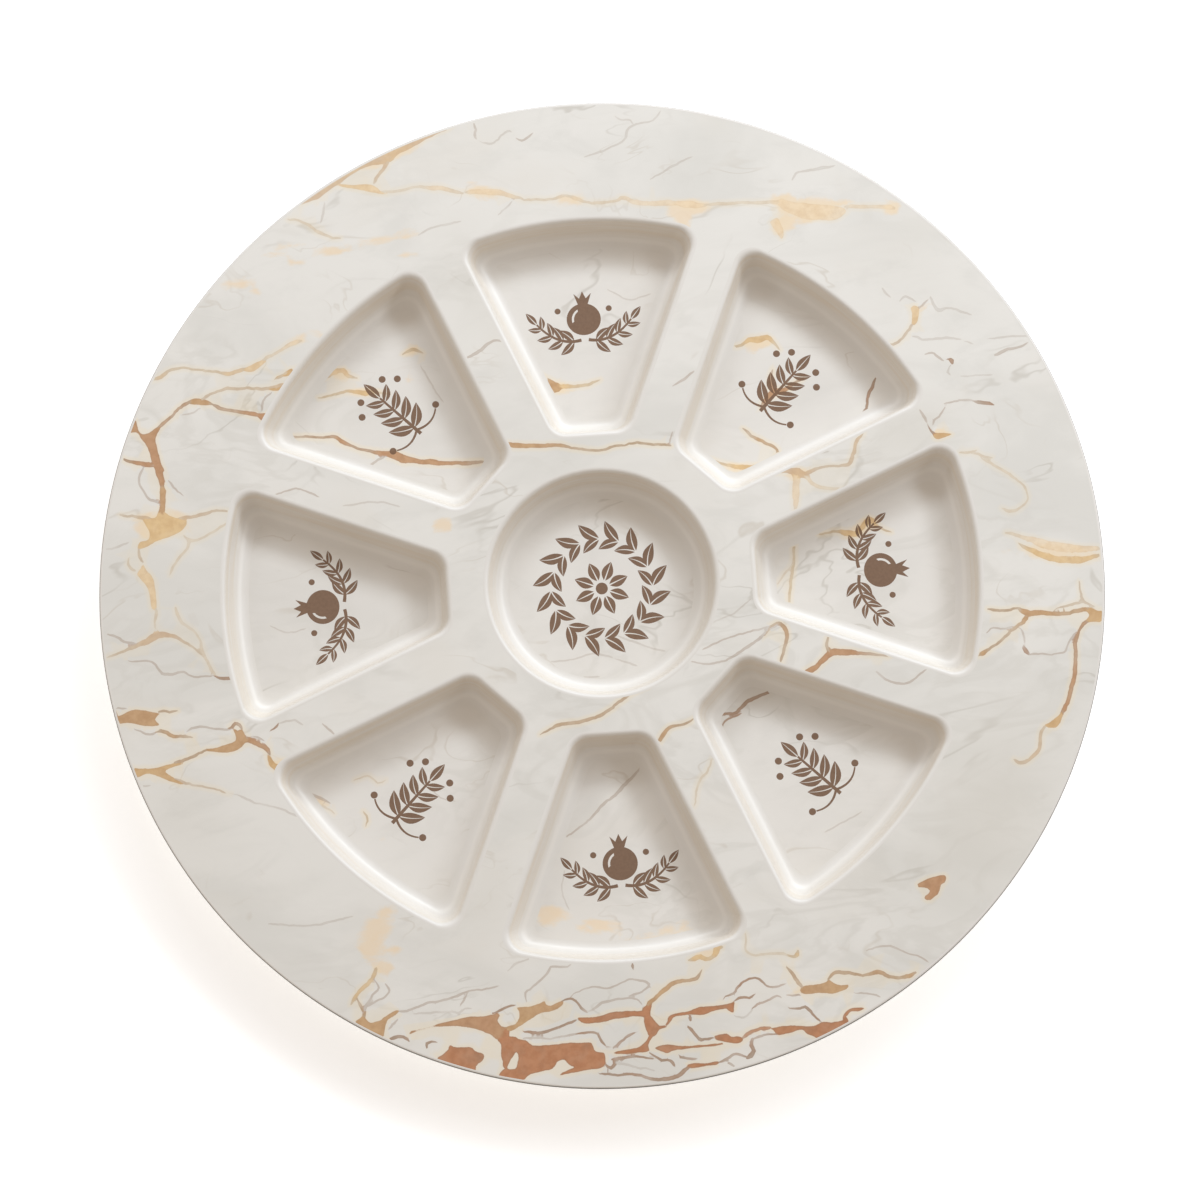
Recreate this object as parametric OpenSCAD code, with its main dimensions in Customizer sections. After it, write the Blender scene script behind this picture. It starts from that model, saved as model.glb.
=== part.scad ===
// Round moulded plate with eight wedge wells around a round centre well.
// The deck and the well floors carry printed foils, each let in flush.
// +Z is up, the origin is on the surface the plate stands on, under the
// plate's centre, and the first wedge well lies along +X.

/* [Plate] */
// Outer diameter of the plate
plate_d = 380; // [360:2:420]
// Thickness of the deck and of the well walls and floors
shell_t = 3.5; // [3:0.5:4]
// Rounding of the two edges of the plate's rim
edge_r = 0.8; // [0.5:0.1:1.4]
// Height of the moulded bead that each pocket stands on
foot_h = 0.8; // [0.5:0.1:1.5]
// Width of the moulded foot bead
foot_w = 3; // [2:0.5:4]

/* [Wells] */
// Depth of the wells below the deck
well_depth = 12; // [10:0.5:16]
// Rounding of the lip between the deck and a well's wall
lip_r = 2; // [1:0.25:2.5]
// Rounding of the cove between a well's wall and its floor
cove_r = 5.75; // [4:0.25:6.5]
// Slope of the well walls away from the vertical
wall_draft = 15; // [10:1:20]

/* [Wedge wells] */
// Radius of a wedge well's outer arc, at the lip
wedge_outer_r = 144; // [138:1:150]
// Distance of a wedge well's straight inner end from the centre, at the lip
wedge_inner_x = 57; // [56:1:62]
// Width of the deck between two neighbouring wedge wells
spoke_w = 16; // [14:0.5:20]
// Corner rounding at the outer arc, at the lip
outer_corner_r = 7.5; // [5:0.5:10]
// Corner rounding at the inner end, at the lip
inner_corner_r = 8; // [6:0.5:10]

/* [Centre well] */
// Radius of the centre well at the lip
centre_r = 44.5; // [40:0.5:46]

/* [Printed foils] */
// Thickness of the printed foils
foil_t = 0.2; // [0.1:0.05:0.3]
// Bare margin between a foil's edge and the rounding next to it
foil_gap = 0.3; // [0.2:0.1:1]

/* [Hidden] */

// Heights
well_count = 8;
pitch = 360 / well_count;
floor_z = foot_h + shell_t;
deck_z = floor_z + well_depth;
under_z = deck_z - shell_t;
plate_r = plate_d / 2;

// Wall profile. An inset e runs inwards from the lip's outline, and the profile
// is a list of [e, z] from the floor up to the lip: cove, straight wall, lip.
lean = 90 - wall_draft;
wall_e = (lip_r + cove_r) * sin(lean)
       + (well_depth - (lip_r + cove_r) * (1 - cos(lean))) * tan(wall_draft);
cove_n = 5;
lip_n = 3;
well_profile = concat(
  [for (i = [0 : cove_n]) let (t = lean * i / cove_n)
    [wall_e - cove_r * sin(t), floor_z + cove_r * (1 - cos(t))]],
  [for (i = [0 : lip_n]) let (t = lean * (1 - i / lip_n))
    [lip_r * sin(t), deck_z - lip_r * (1 - cos(t))]]);

// Outside of the pocket: the wall's line moved outwards by the shell thickness,
// rounded into the deck above and into the pocket's underside below.
back_w = shell_t / cos(wall_draft);
function wall_line(z) = lip_r * sin(lean)
  + (deck_z - lip_r * (1 - cos(lean)) - z) * tan(wall_draft) - back_w;
under_r = 2.5;
base_z = foot_h;
pocket_profile = [
  [wall_line(base_z) + under_r * 0.95, base_z],
  [wall_line(base_z) + under_r * 0.35, base_z + under_r * 0.22],
  [wall_line(base_z + under_r), base_z + under_r],
  [wall_line(under_z - under_r), under_z - under_r],
  [wall_line(under_z) - under_r * 0.35, under_z - under_r * 0.22],
  [wall_line(under_z) - under_r * 1.15, under_z + shell_t * 0.1]];
foot_e = wall_line(base_z) + under_r * 0.95 + 0.4;

// Wedge outline at inset e, around the +X axis, counter-clockwise. Every inset
// gives the same number of points, so that outlines stack into a loft.
corner_n = 4;
rim_n = 12;
keep = 0.35;
half = pitch / 2;
function circ(c, r, a) = c + r * [cos(a), sin(a)];
function wedge_half(e) =
  let (ro = wedge_outer_r - e, ui = wedge_inner_x + e, s = spoke_w / 2 + e,
       po = outer_corner_r - keep * e, pi_ = inner_corner_r - keep * e,
       d = [cos(half), sin(half)], n = [sin(half), -cos(half)],
       t = sqrt(pow(ro - po, 2) - pow(s + po, 2)),
       co = d * t + n * (s + po),
       k = (ui + pi_ - n[0] * (s + pi_)) / d[0],
       ci = d * k + n * (s + pi_),
       ao = atan2(co[1], co[0]))
  concat(
    [for (i = [0 : rim_n / 2 - 1]) circ([0, 0], ro, ao * i / (rim_n / 2))],
    [for (i = [0 : corner_n]) circ(co, po, ao + (90 + half - ao) * i / corner_n)],
    [for (i = [0 : corner_n]) circ(ci, pi_, 90 + half + (90 - half) * i / corner_n)]);
function wedge_outline(e) =
  let (h = wedge_half(e), m = len(h))
  concat(h, [for (i = [m - 1 : -1 : 1]) [h[i][0], -h[i][1]]]);

// Closed solid through one wedge outline for each [e, z] of a profile
module wedge_loft(profile) {
  rings = [for (p = profile) wedge_outline(p[0])];
  n = len(rings[0]);
  m = len(profile);
  pts = [for (j = [0 : m - 1]) for (i = [0 : n - 1])
          [rings[j][i][0], rings[j][i][1], profile[j][1]]];
  faces = concat(
    [[for (i = [0 : n - 1]) i]],
    [for (j = [0 : m - 2]) for (i = [0 : n - 1]) let (k = (i + 1) % n)
      [j * n + i, (j + 1) * n + k, j * n + k]],
    [for (j = [0 : m - 2]) for (i = [0 : n - 1]) let (k = (i + 1) % n)
      [j * n + i, (j + 1) * n + i, (j + 1) * n + k]],
    [[for (i = [n - 1 : -1 : 0]) (m - 1) * n + i]]);
  polyhedron(points = pts, faces = faces);
}

// Turned solid with the same profile, for the round centre
module centre_turn(profile) {
  m = len(profile);
  rotate_extrude($fn = 96)
    polygon(concat([[0, profile[0][1]]],
                   [for (p = profile) [centre_r - p[0], p[1]]],
                   [[0, profile[m - 1][1]]]));
}

module around() { for (i = [0 : well_count - 1]) rotate([0, 0, pitch * i]) children(); }

// The hollow of a well, run past the deck
function cutter() = concat(well_profile, [[0, deck_z + 2]]);

module deck_disc() {
  rotate_extrude($fn = 180)
    union() {
      translate([0, under_z]) square([plate_r - edge_r, shell_t]);
      translate([0, under_z + edge_r]) square([plate_r, shell_t - 2 * edge_r]);
      for (z = [under_z + edge_r, deck_z - edge_r])
        translate([plate_r - edge_r, z]) circle(r = edge_r, $fn = 24);
    }
}

module wedge_foot() {
  linear_extrude(height = foot_h + 0.4)
    difference() {
      polygon(wedge_outline(foot_e));
      polygon(wedge_outline(foot_e + foot_w));
    }
}

module centre_foot() {
  difference() {
    cylinder(r = centre_r - foot_e, h = foot_h + 0.4, $fn = 96);
    translate([0, 0, -1]) cylinder(r = centre_r - foot_e - foot_w, h = foot_h + 2, $fn = 96);
  }
}

// Foil shapes, also let into the body
module deck_sheet(extra = 0) {
  translate([0, 0, deck_z - foil_t])
    difference() {
      cylinder(r = plate_r - edge_r - foil_gap, h = foil_t + extra, $fn = 180);
      translate([0, 0, -1]) {
        cylinder(r = centre_r + foil_gap, h = foil_t + 4, $fn = 96);
        around() linear_extrude(height = foil_t + 4) polygon(wedge_outline(-foil_gap));
      }
    }
}
module wedge_sheet(extra = 0) {
  translate([0, 0, floor_z - foil_t])
    linear_extrude(height = foil_t + extra) polygon(wedge_outline(wall_e + foil_gap));
}
module centre_sheet(extra = 0) {
  translate([0, 0, floor_z - foil_t])
    cylinder(r = centre_r - wall_e - foil_gap, h = foil_t + extra, $fn = 96);
}

module plate_body() {
  color([0.93, 0.91, 0.87])
    difference() {
      union() {
        deck_disc();
        around() { wedge_loft(pocket_profile); wedge_foot(); }
        centre_turn(pocket_profile);
        centre_foot();
      }
      around() { wedge_loft(cutter()); wedge_sheet(1); }
      centre_turn(cutter());
      centre_sheet(1);
      deck_sheet(1);
    }
}
module deck_foil() { color([0.87, 0.85, 0.82]) deck_sheet(); }
module floor_foil(i) { color([0.89, 0.87, 0.84]) rotate([0, 0, pitch * (i - 1)]) wedge_sheet(); }
module floor_foil_1() { floor_foil(1); }
module floor_foil_2() { floor_foil(2); }
module floor_foil_3() { floor_foil(3); }
module floor_foil_4() { floor_foil(4); }
module floor_foil_5() { floor_foil(5); }
module floor_foil_6() { floor_foil(6); }
module floor_foil_7() { floor_foil(7); }
module floor_foil_8() { floor_foil(8); }
module floor_foil_centre() { color([0.89, 0.87, 0.84]) centre_sheet(); }

plate_body();
deck_foil();
floor_foil_1();
floor_foil_2();
floor_foil_3();
floor_foil_4();
floor_foil_5();
floor_foil_6();
floor_foil_7();
floor_foil_8();
floor_foil_centre();
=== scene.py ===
import math

import bpy
import numpy as np
from mathutils import Matrix, Vector, noise
from mathutils.geometry import delaunay_2d_cdt
from mathutils.kdtree import KDTree


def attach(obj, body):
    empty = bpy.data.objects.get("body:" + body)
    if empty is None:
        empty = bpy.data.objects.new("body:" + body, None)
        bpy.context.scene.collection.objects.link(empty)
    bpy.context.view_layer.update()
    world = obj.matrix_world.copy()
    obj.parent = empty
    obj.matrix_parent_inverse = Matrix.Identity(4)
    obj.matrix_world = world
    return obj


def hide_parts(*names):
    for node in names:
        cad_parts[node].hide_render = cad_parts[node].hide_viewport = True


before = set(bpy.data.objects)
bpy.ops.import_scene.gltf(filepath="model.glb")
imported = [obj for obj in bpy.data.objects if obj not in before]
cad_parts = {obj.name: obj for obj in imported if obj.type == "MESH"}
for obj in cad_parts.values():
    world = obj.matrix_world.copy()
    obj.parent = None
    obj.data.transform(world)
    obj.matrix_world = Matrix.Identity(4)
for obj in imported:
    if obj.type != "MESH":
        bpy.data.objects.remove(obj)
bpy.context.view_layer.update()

MM = 0.001

# ---------------------------------------------------------------- dimensions (mm)
PLATE_R = 189.95
SHELL = 3.5
FOOT_H = 0.8
FOOT_W = 3.0
DEPTH = 12.0
LIP_R = 2.0
COVE_R = 5.75
DRAFT = math.radians(15)
LEAN = math.pi / 2 - DRAFT
OUTER_R = 144.0
INNER_X = 57.0
SPOKE = 16.0
CORNER_O = 7.5
CORNER_I = 8.0
CENTRE_R = 44.5
FOIL_T = 0.2
FOIL_GAP = 0.3
KEEP = 0.35
FLOOR_Z = FOOT_H + SHELL
DECK_Z = FLOOR_Z + DEPTH
UNDER_Z = DECK_Z - SHELL
WALL_E = (LIP_R + COVE_R) * math.sin(LEAN) + (
    DEPTH - (LIP_R + COVE_R) * (1 - math.cos(LEAN))) * math.tan(DRAFT)
BACK_W = SHELL / math.cos(DRAFT)
UNDER_R = 2.5
HALF = math.radians(22.5)
EDGE_R = 0.8
SEAT = 0.02  # clearance below a foil, so that its underside lies on nothing


def wall_line(z):
    return (LIP_R * math.sin(LEAN)
            + (DECK_Z - LIP_R * (1 - math.cos(LEAN)) - z) * math.tan(DRAFT) - BACK_W)


FOOT_E = wall_line(FOOT_H) + UNDER_R * 0.95 + 0.4


# ---------------------------------------------------------------- outlines
def arc(cx, cy, r, a0, a1, n, last=True):
    k = np.linspace(a0, a1, n + 1)
    if not last:
        k = k[:-1]
    return np.stack([cx + r * np.cos(k), cy + r * np.sin(k)], 1)


def line(p, q, n):
    """The n - 1 points between p and q."""
    t = np.linspace(0, 1, n + 1)[1:-1, None]
    return np.asarray(p) * (1 - t) + np.asarray(q) * t


def wedge(e, n_rim=20, n_co=12, n_ci=12, n_side=14, n_end=4):
    """Outline of a wedge well along +X at inset e, counter-clockwise, with the same number of points at every inset."""
    ro, ui, s = OUTER_R - e, INNER_X + e, SPOKE / 2 + e
    po, pi_ = CORNER_O - KEEP * e, CORNER_I - KEEP * e
    d = np.array([math.cos(HALF), math.sin(HALF)])
    n = np.array([math.sin(HALF), -math.cos(HALF)])
    t = math.sqrt((ro - po) ** 2 - (s + po) ** 2)
    co = d * t + n * (s + po)
    k = (ui + pi_ - n[0] * (s + pi_)) / d[0]
    ci = d * k + n * (s + pi_)
    ao = math.atan2(co[1], co[0])
    rim = arc(0, 0, ro, 0, ao, n_rim, last=False)
    c1 = arc(co[0], co[1], po, ao, math.pi / 2 + HALF, n_co)
    c2 = arc(ci[0], ci[1], pi_, math.pi / 2 + HALF, math.pi, n_ci)
    mid = np.array([ui, 0.0])
    half = np.concatenate([rim, c1, line(c1[-1], c2[0], n_side), c2,
                           line(c2[-1], mid, n_end), mid[None]])
    back = half[1:-1][::-1] * np.array([1, -1])
    return np.concatenate([half, back])


def ring(r, n=128):
    a = np.arange(n) * (2 * math.pi / n)
    return np.stack([r * np.cos(a), r * np.sin(a)], 1)


def centre(e):
    return ring(CENTRE_R - e, 144)


def turned(p, i):
    a = math.radians(45 * i)
    c, s = math.cos(a), math.sin(a)
    p = np.asarray(p, float)
    return np.stack([p[:, 0] * c - p[:, 1] * s, p[:, 0] * s + p[:, 1] * c], 1)


def inside(p, poly):
    """Which of the points p lie in the polygon."""
    x, y = p[:, 0], p[:, 1]
    out = np.zeros(len(p), bool)
    q = np.roll(poly, -1, 0)
    for (x0, y0), (x1, y1) in zip(poly, q):
        if y0 == y1:
            continue
        hit = ((y0 > y) != (y1 > y)) & (x < (x1 - x0) * (y - y0) / (y1 - y0) + x0)
        out ^= hit
    return out


def slivers(co, tri):
    """Which triangles are flat to within rounding, as they come out along a straight outline."""
    a, b, c = (co[tri[:, i]] for i in range(3))
    twice = np.abs((b[:, 0] - a[:, 0]) * (c[:, 1] - a[:, 1]) - (b[:, 1] - a[:, 1]) * (c[:, 0] - a[:, 0]))
    longest = np.max([np.linalg.norm(q, axis=1) for q in (b - a, c - b, a - c)], axis=0)
    return twice < longest * 5e-5


# ---------------------------------------------------------------- mesh gathering
class Gather:
    def __init__(self):
        self.v, self.f, self.n = [], [], 0

    def add(self, pts, faces):
        self.v.append(np.asarray(pts, float))
        self.f.extend([tuple(i + self.n for i in f) for f in faces])
        self.n += len(pts)

    def stack(self, rings, flip=False):
        """Quads through closed rings of equal length, given as (outline, z)."""
        m = len(rings[0][0])
        pts = np.concatenate([np.column_stack([o, np.full(m, z)]) for o, z in rings])
        faces = []
        for j in range(len(rings) - 1):
            for i in range(m):
                k = (i + 1) % m
                q = (j * m + i, j * m + k, (j + 1) * m + k, (j + 1) * m + i)
                faces.append(q[::-1] if flip else q)
        self.add(pts, faces)

    def cap(self, outline, z, up=True):
        m = len(outline)
        f = tuple(range(m))
        self.add(np.column_stack([outline, np.full(m, z)]), [f if up else f[::-1]])

    def sheet(self, outer, holes, z, up=True):
        loops = [outer] + holes
        pts, edges = [], []
        for lp in loops:
            b = len(pts)
            pts.extend(Vector((float(x), float(y))) for x, y in lp)
            edges.extend((b + i, b + (i + 1) % len(lp)) for i in range(len(lp)))
        co, _, tri, _, _, _ = delaunay_2d_cdt(pts, edges, [], 0, 1e-6)
        co = np.array([tuple(c) for c in co])
        mid = np.array([co[list(t)].mean(0) for t in tri])
        keep = inside(mid, outer)
        for h in holes:
            keep &= ~inside(mid, h)
        faces = []
        for t, k in zip(tri, keep):
            if k:
                a, b, c = (co[i] for i in t)
                ccw = (b[0] - a[0]) * (c[1] - a[1]) - (b[1] - a[1]) * (c[0] - a[0]) > 0
                faces.append(tuple(t) if ccw == up else tuple(t)[::-1])
        self.add(np.column_stack([co, np.full(len(co), z)]), faces)

    def mesh(self, name, angle=30):
        import bmesh
        bm = bmesh.new()
        vs = [bm.verts.new(p * MM) for p in np.concatenate(self.v)]
        for f in self.f:
            bm.faces.new([vs[i] for i in f])
        bmesh.ops.remove_doubles(bm, verts=bm.verts, dist=2e-6)
        loose = [v for v in bm.verts if not v.link_faces]
        bmesh.ops.delete(bm, geom=loose, context="VERTS")
        me = bpy.data.meshes.new(name)
        bm.to_mesh(me)
        bm.free()
        me.shade_smooth()
        me.set_sharp_from_angle(angle=math.radians(angle))
        return me


def place(name, me, mat, nodes):
    ob = bpy.data.objects.new(name, me)
    bpy.context.scene.collection.objects.link(ob)
    me.materials.append(mat)
    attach(ob, "root")
    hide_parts(*nodes)
    return ob


# ---------------------------------------------------------------- plate body
def bezier(p, c, q, n):
    t = np.linspace(0, 1, n + 1)[:, None]
    p, c, q = map(np.asarray, (p, c, q))
    return (1 - t) ** 2 * p + 2 * t * (1 - t) * c + t * t * q


def well_profile():
    """(inset, z) from the deck land down the lip, the wall and the cove to the floor's foil seat."""
    out = [(-FOIL_GAP, DECK_Z), (-FOIL_GAP * 0.4, DECK_Z)]
    for t in np.linspace(0, LEAN, 9):
        out.append((LIP_R * math.sin(t), DECK_Z - LIP_R * (1 - math.cos(t))))
    e0, z0 = out[-1]
    e1 = WALL_E - COVE_R * math.sin(LEAN)
    z1 = FLOOR_Z + COVE_R * (1 - math.cos(LEAN))
    for t in (0.04, 0.5, 0.96):
        out.append((e0 + (e1 - e0) * t, z0 + (z1 - z0) * t))
    for t in np.linspace(LEAN, 0, 15):
        out.append((WALL_E - COVE_R * math.sin(t), FLOOR_Z + COVE_R * (1 - math.cos(t))))
    out += [(WALL_E + FOIL_GAP * 0.5, FLOOR_Z), (WALL_E + FOIL_GAP, FLOOR_Z)]
    out += [(WALL_E + FOIL_GAP, FLOOR_Z - FOIL_T - SEAT)]
    return out


def pocket_profile():
    """(inset, z) on the underside, from the deck's underside down the pocket and over the foot bead to the pocket's base."""
    w = wall_line
    top = bezier((w(UNDER_Z) - 2.9, UNDER_Z), (w(UNDER_Z) - 0.35, UNDER_Z),
                 (w(UNDER_Z - 2.5), UNDER_Z - 2.5), 7)
    low = bezier((w(FOOT_H + 2.5), FOOT_H + 2.5), (w(FOOT_H) + 0.45, FOOT_H),
                 (FOOT_E - 0.4, FOOT_H), 7)
    bead = [(FOOT_E, FOOT_H)]
    rb = 0.55
    for t in np.linspace(math.pi, math.pi / 2, 5):
        bead.append((FOOT_E + rb + rb * math.cos(t), rb - rb * math.sin(t)))
    for t in np.linspace(math.pi / 2, 0, 5):
        bead.append((FOOT_E + FOOT_W - rb + rb * math.cos(t), rb - rb * math.sin(t)))
    bead.append((FOOT_E + FOOT_W, FOOT_H))
    return [tuple(p) for p in np.concatenate([top, low])] + bead


def build_body():
    g = Gather()
    down, under = well_profile(), pocket_profile()
    shapes = [lambda e, i=i: turned(wedge(e), i) for i in range(8)] + [centre]
    for shape in shapes:
        g.stack([(shape(e), z) for e, z in down])
        g.cap(shape(down[-1][0]), down[-1][1])
        g.stack([(shape(e), z) for e, z in under], flip=True)
        g.cap(shape(under[-1][0]), under[-1][1], up=False)
    n = 360
    seat_r = PLATE_R - EDGE_R - FOIL_GAP
    rim = [(seat_r, DECK_Z - FOIL_T - SEAT), (seat_r, DECK_Z), (seat_r + FOIL_GAP * 0.6, DECK_Z)]
    for t in np.linspace(math.pi / 2, 0, 9):
        rim.append((PLATE_R - EDGE_R + EDGE_R * math.cos(t), DECK_Z - EDGE_R + EDGE_R * math.sin(t)))
    for t in np.linspace(0, -math.pi / 2, 9):
        rim.append((PLATE_R - EDGE_R + EDGE_R * math.cos(t), UNDER_Z + EDGE_R + EDGE_R * math.sin(t)))
    rim.append((PLATE_R - EDGE_R - 0.5, UNDER_Z))
    g.stack([(ring(r, n), z) for r, z in rim], flip=True)
    # seat of the deck foil, and the step from it up to the land at each window
    windows = [s(-FOIL_GAP) for s in shapes]
    for w in windows:
        g.stack([(w, DECK_Z - FOIL_T - SEAT), (w, DECK_Z)])
    g.sheet(ring(seat_r, n), windows, DECK_Z - FOIL_T - SEAT)
    g.sheet(ring(PLATE_R - EDGE_R - 0.5, n), [s(under[0][0]) for s in shapes], UNDER_Z, up=False)
    return g.mesh("moulded_plate", 35)


# ---------------------------------------------------------------- marble veins
# kind, then x, y (mm on the plate) and the vein's width at each point
# hue on the ramp of vein colours and strength: pale gold, gold, ochre, tan, copper,
# strong and fine brown lines, grey lines
KINDS = {"s": (0.05, 0.55), "w": (0.05, 0.60), "h": (0.10, 0.82), "g": (0.18, 0.80), "q": (0.22, 0.66), "p": (0.31, 0.64), "j": (0.27, 0.92), "o": (0.36, 0.94),
         "t": (0.52, 0.95), "c": (0.68, 0.98), "k": (0.80, 0.92), "b": (0.86, 0.48), "y": (1.0, 0.34)}

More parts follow.
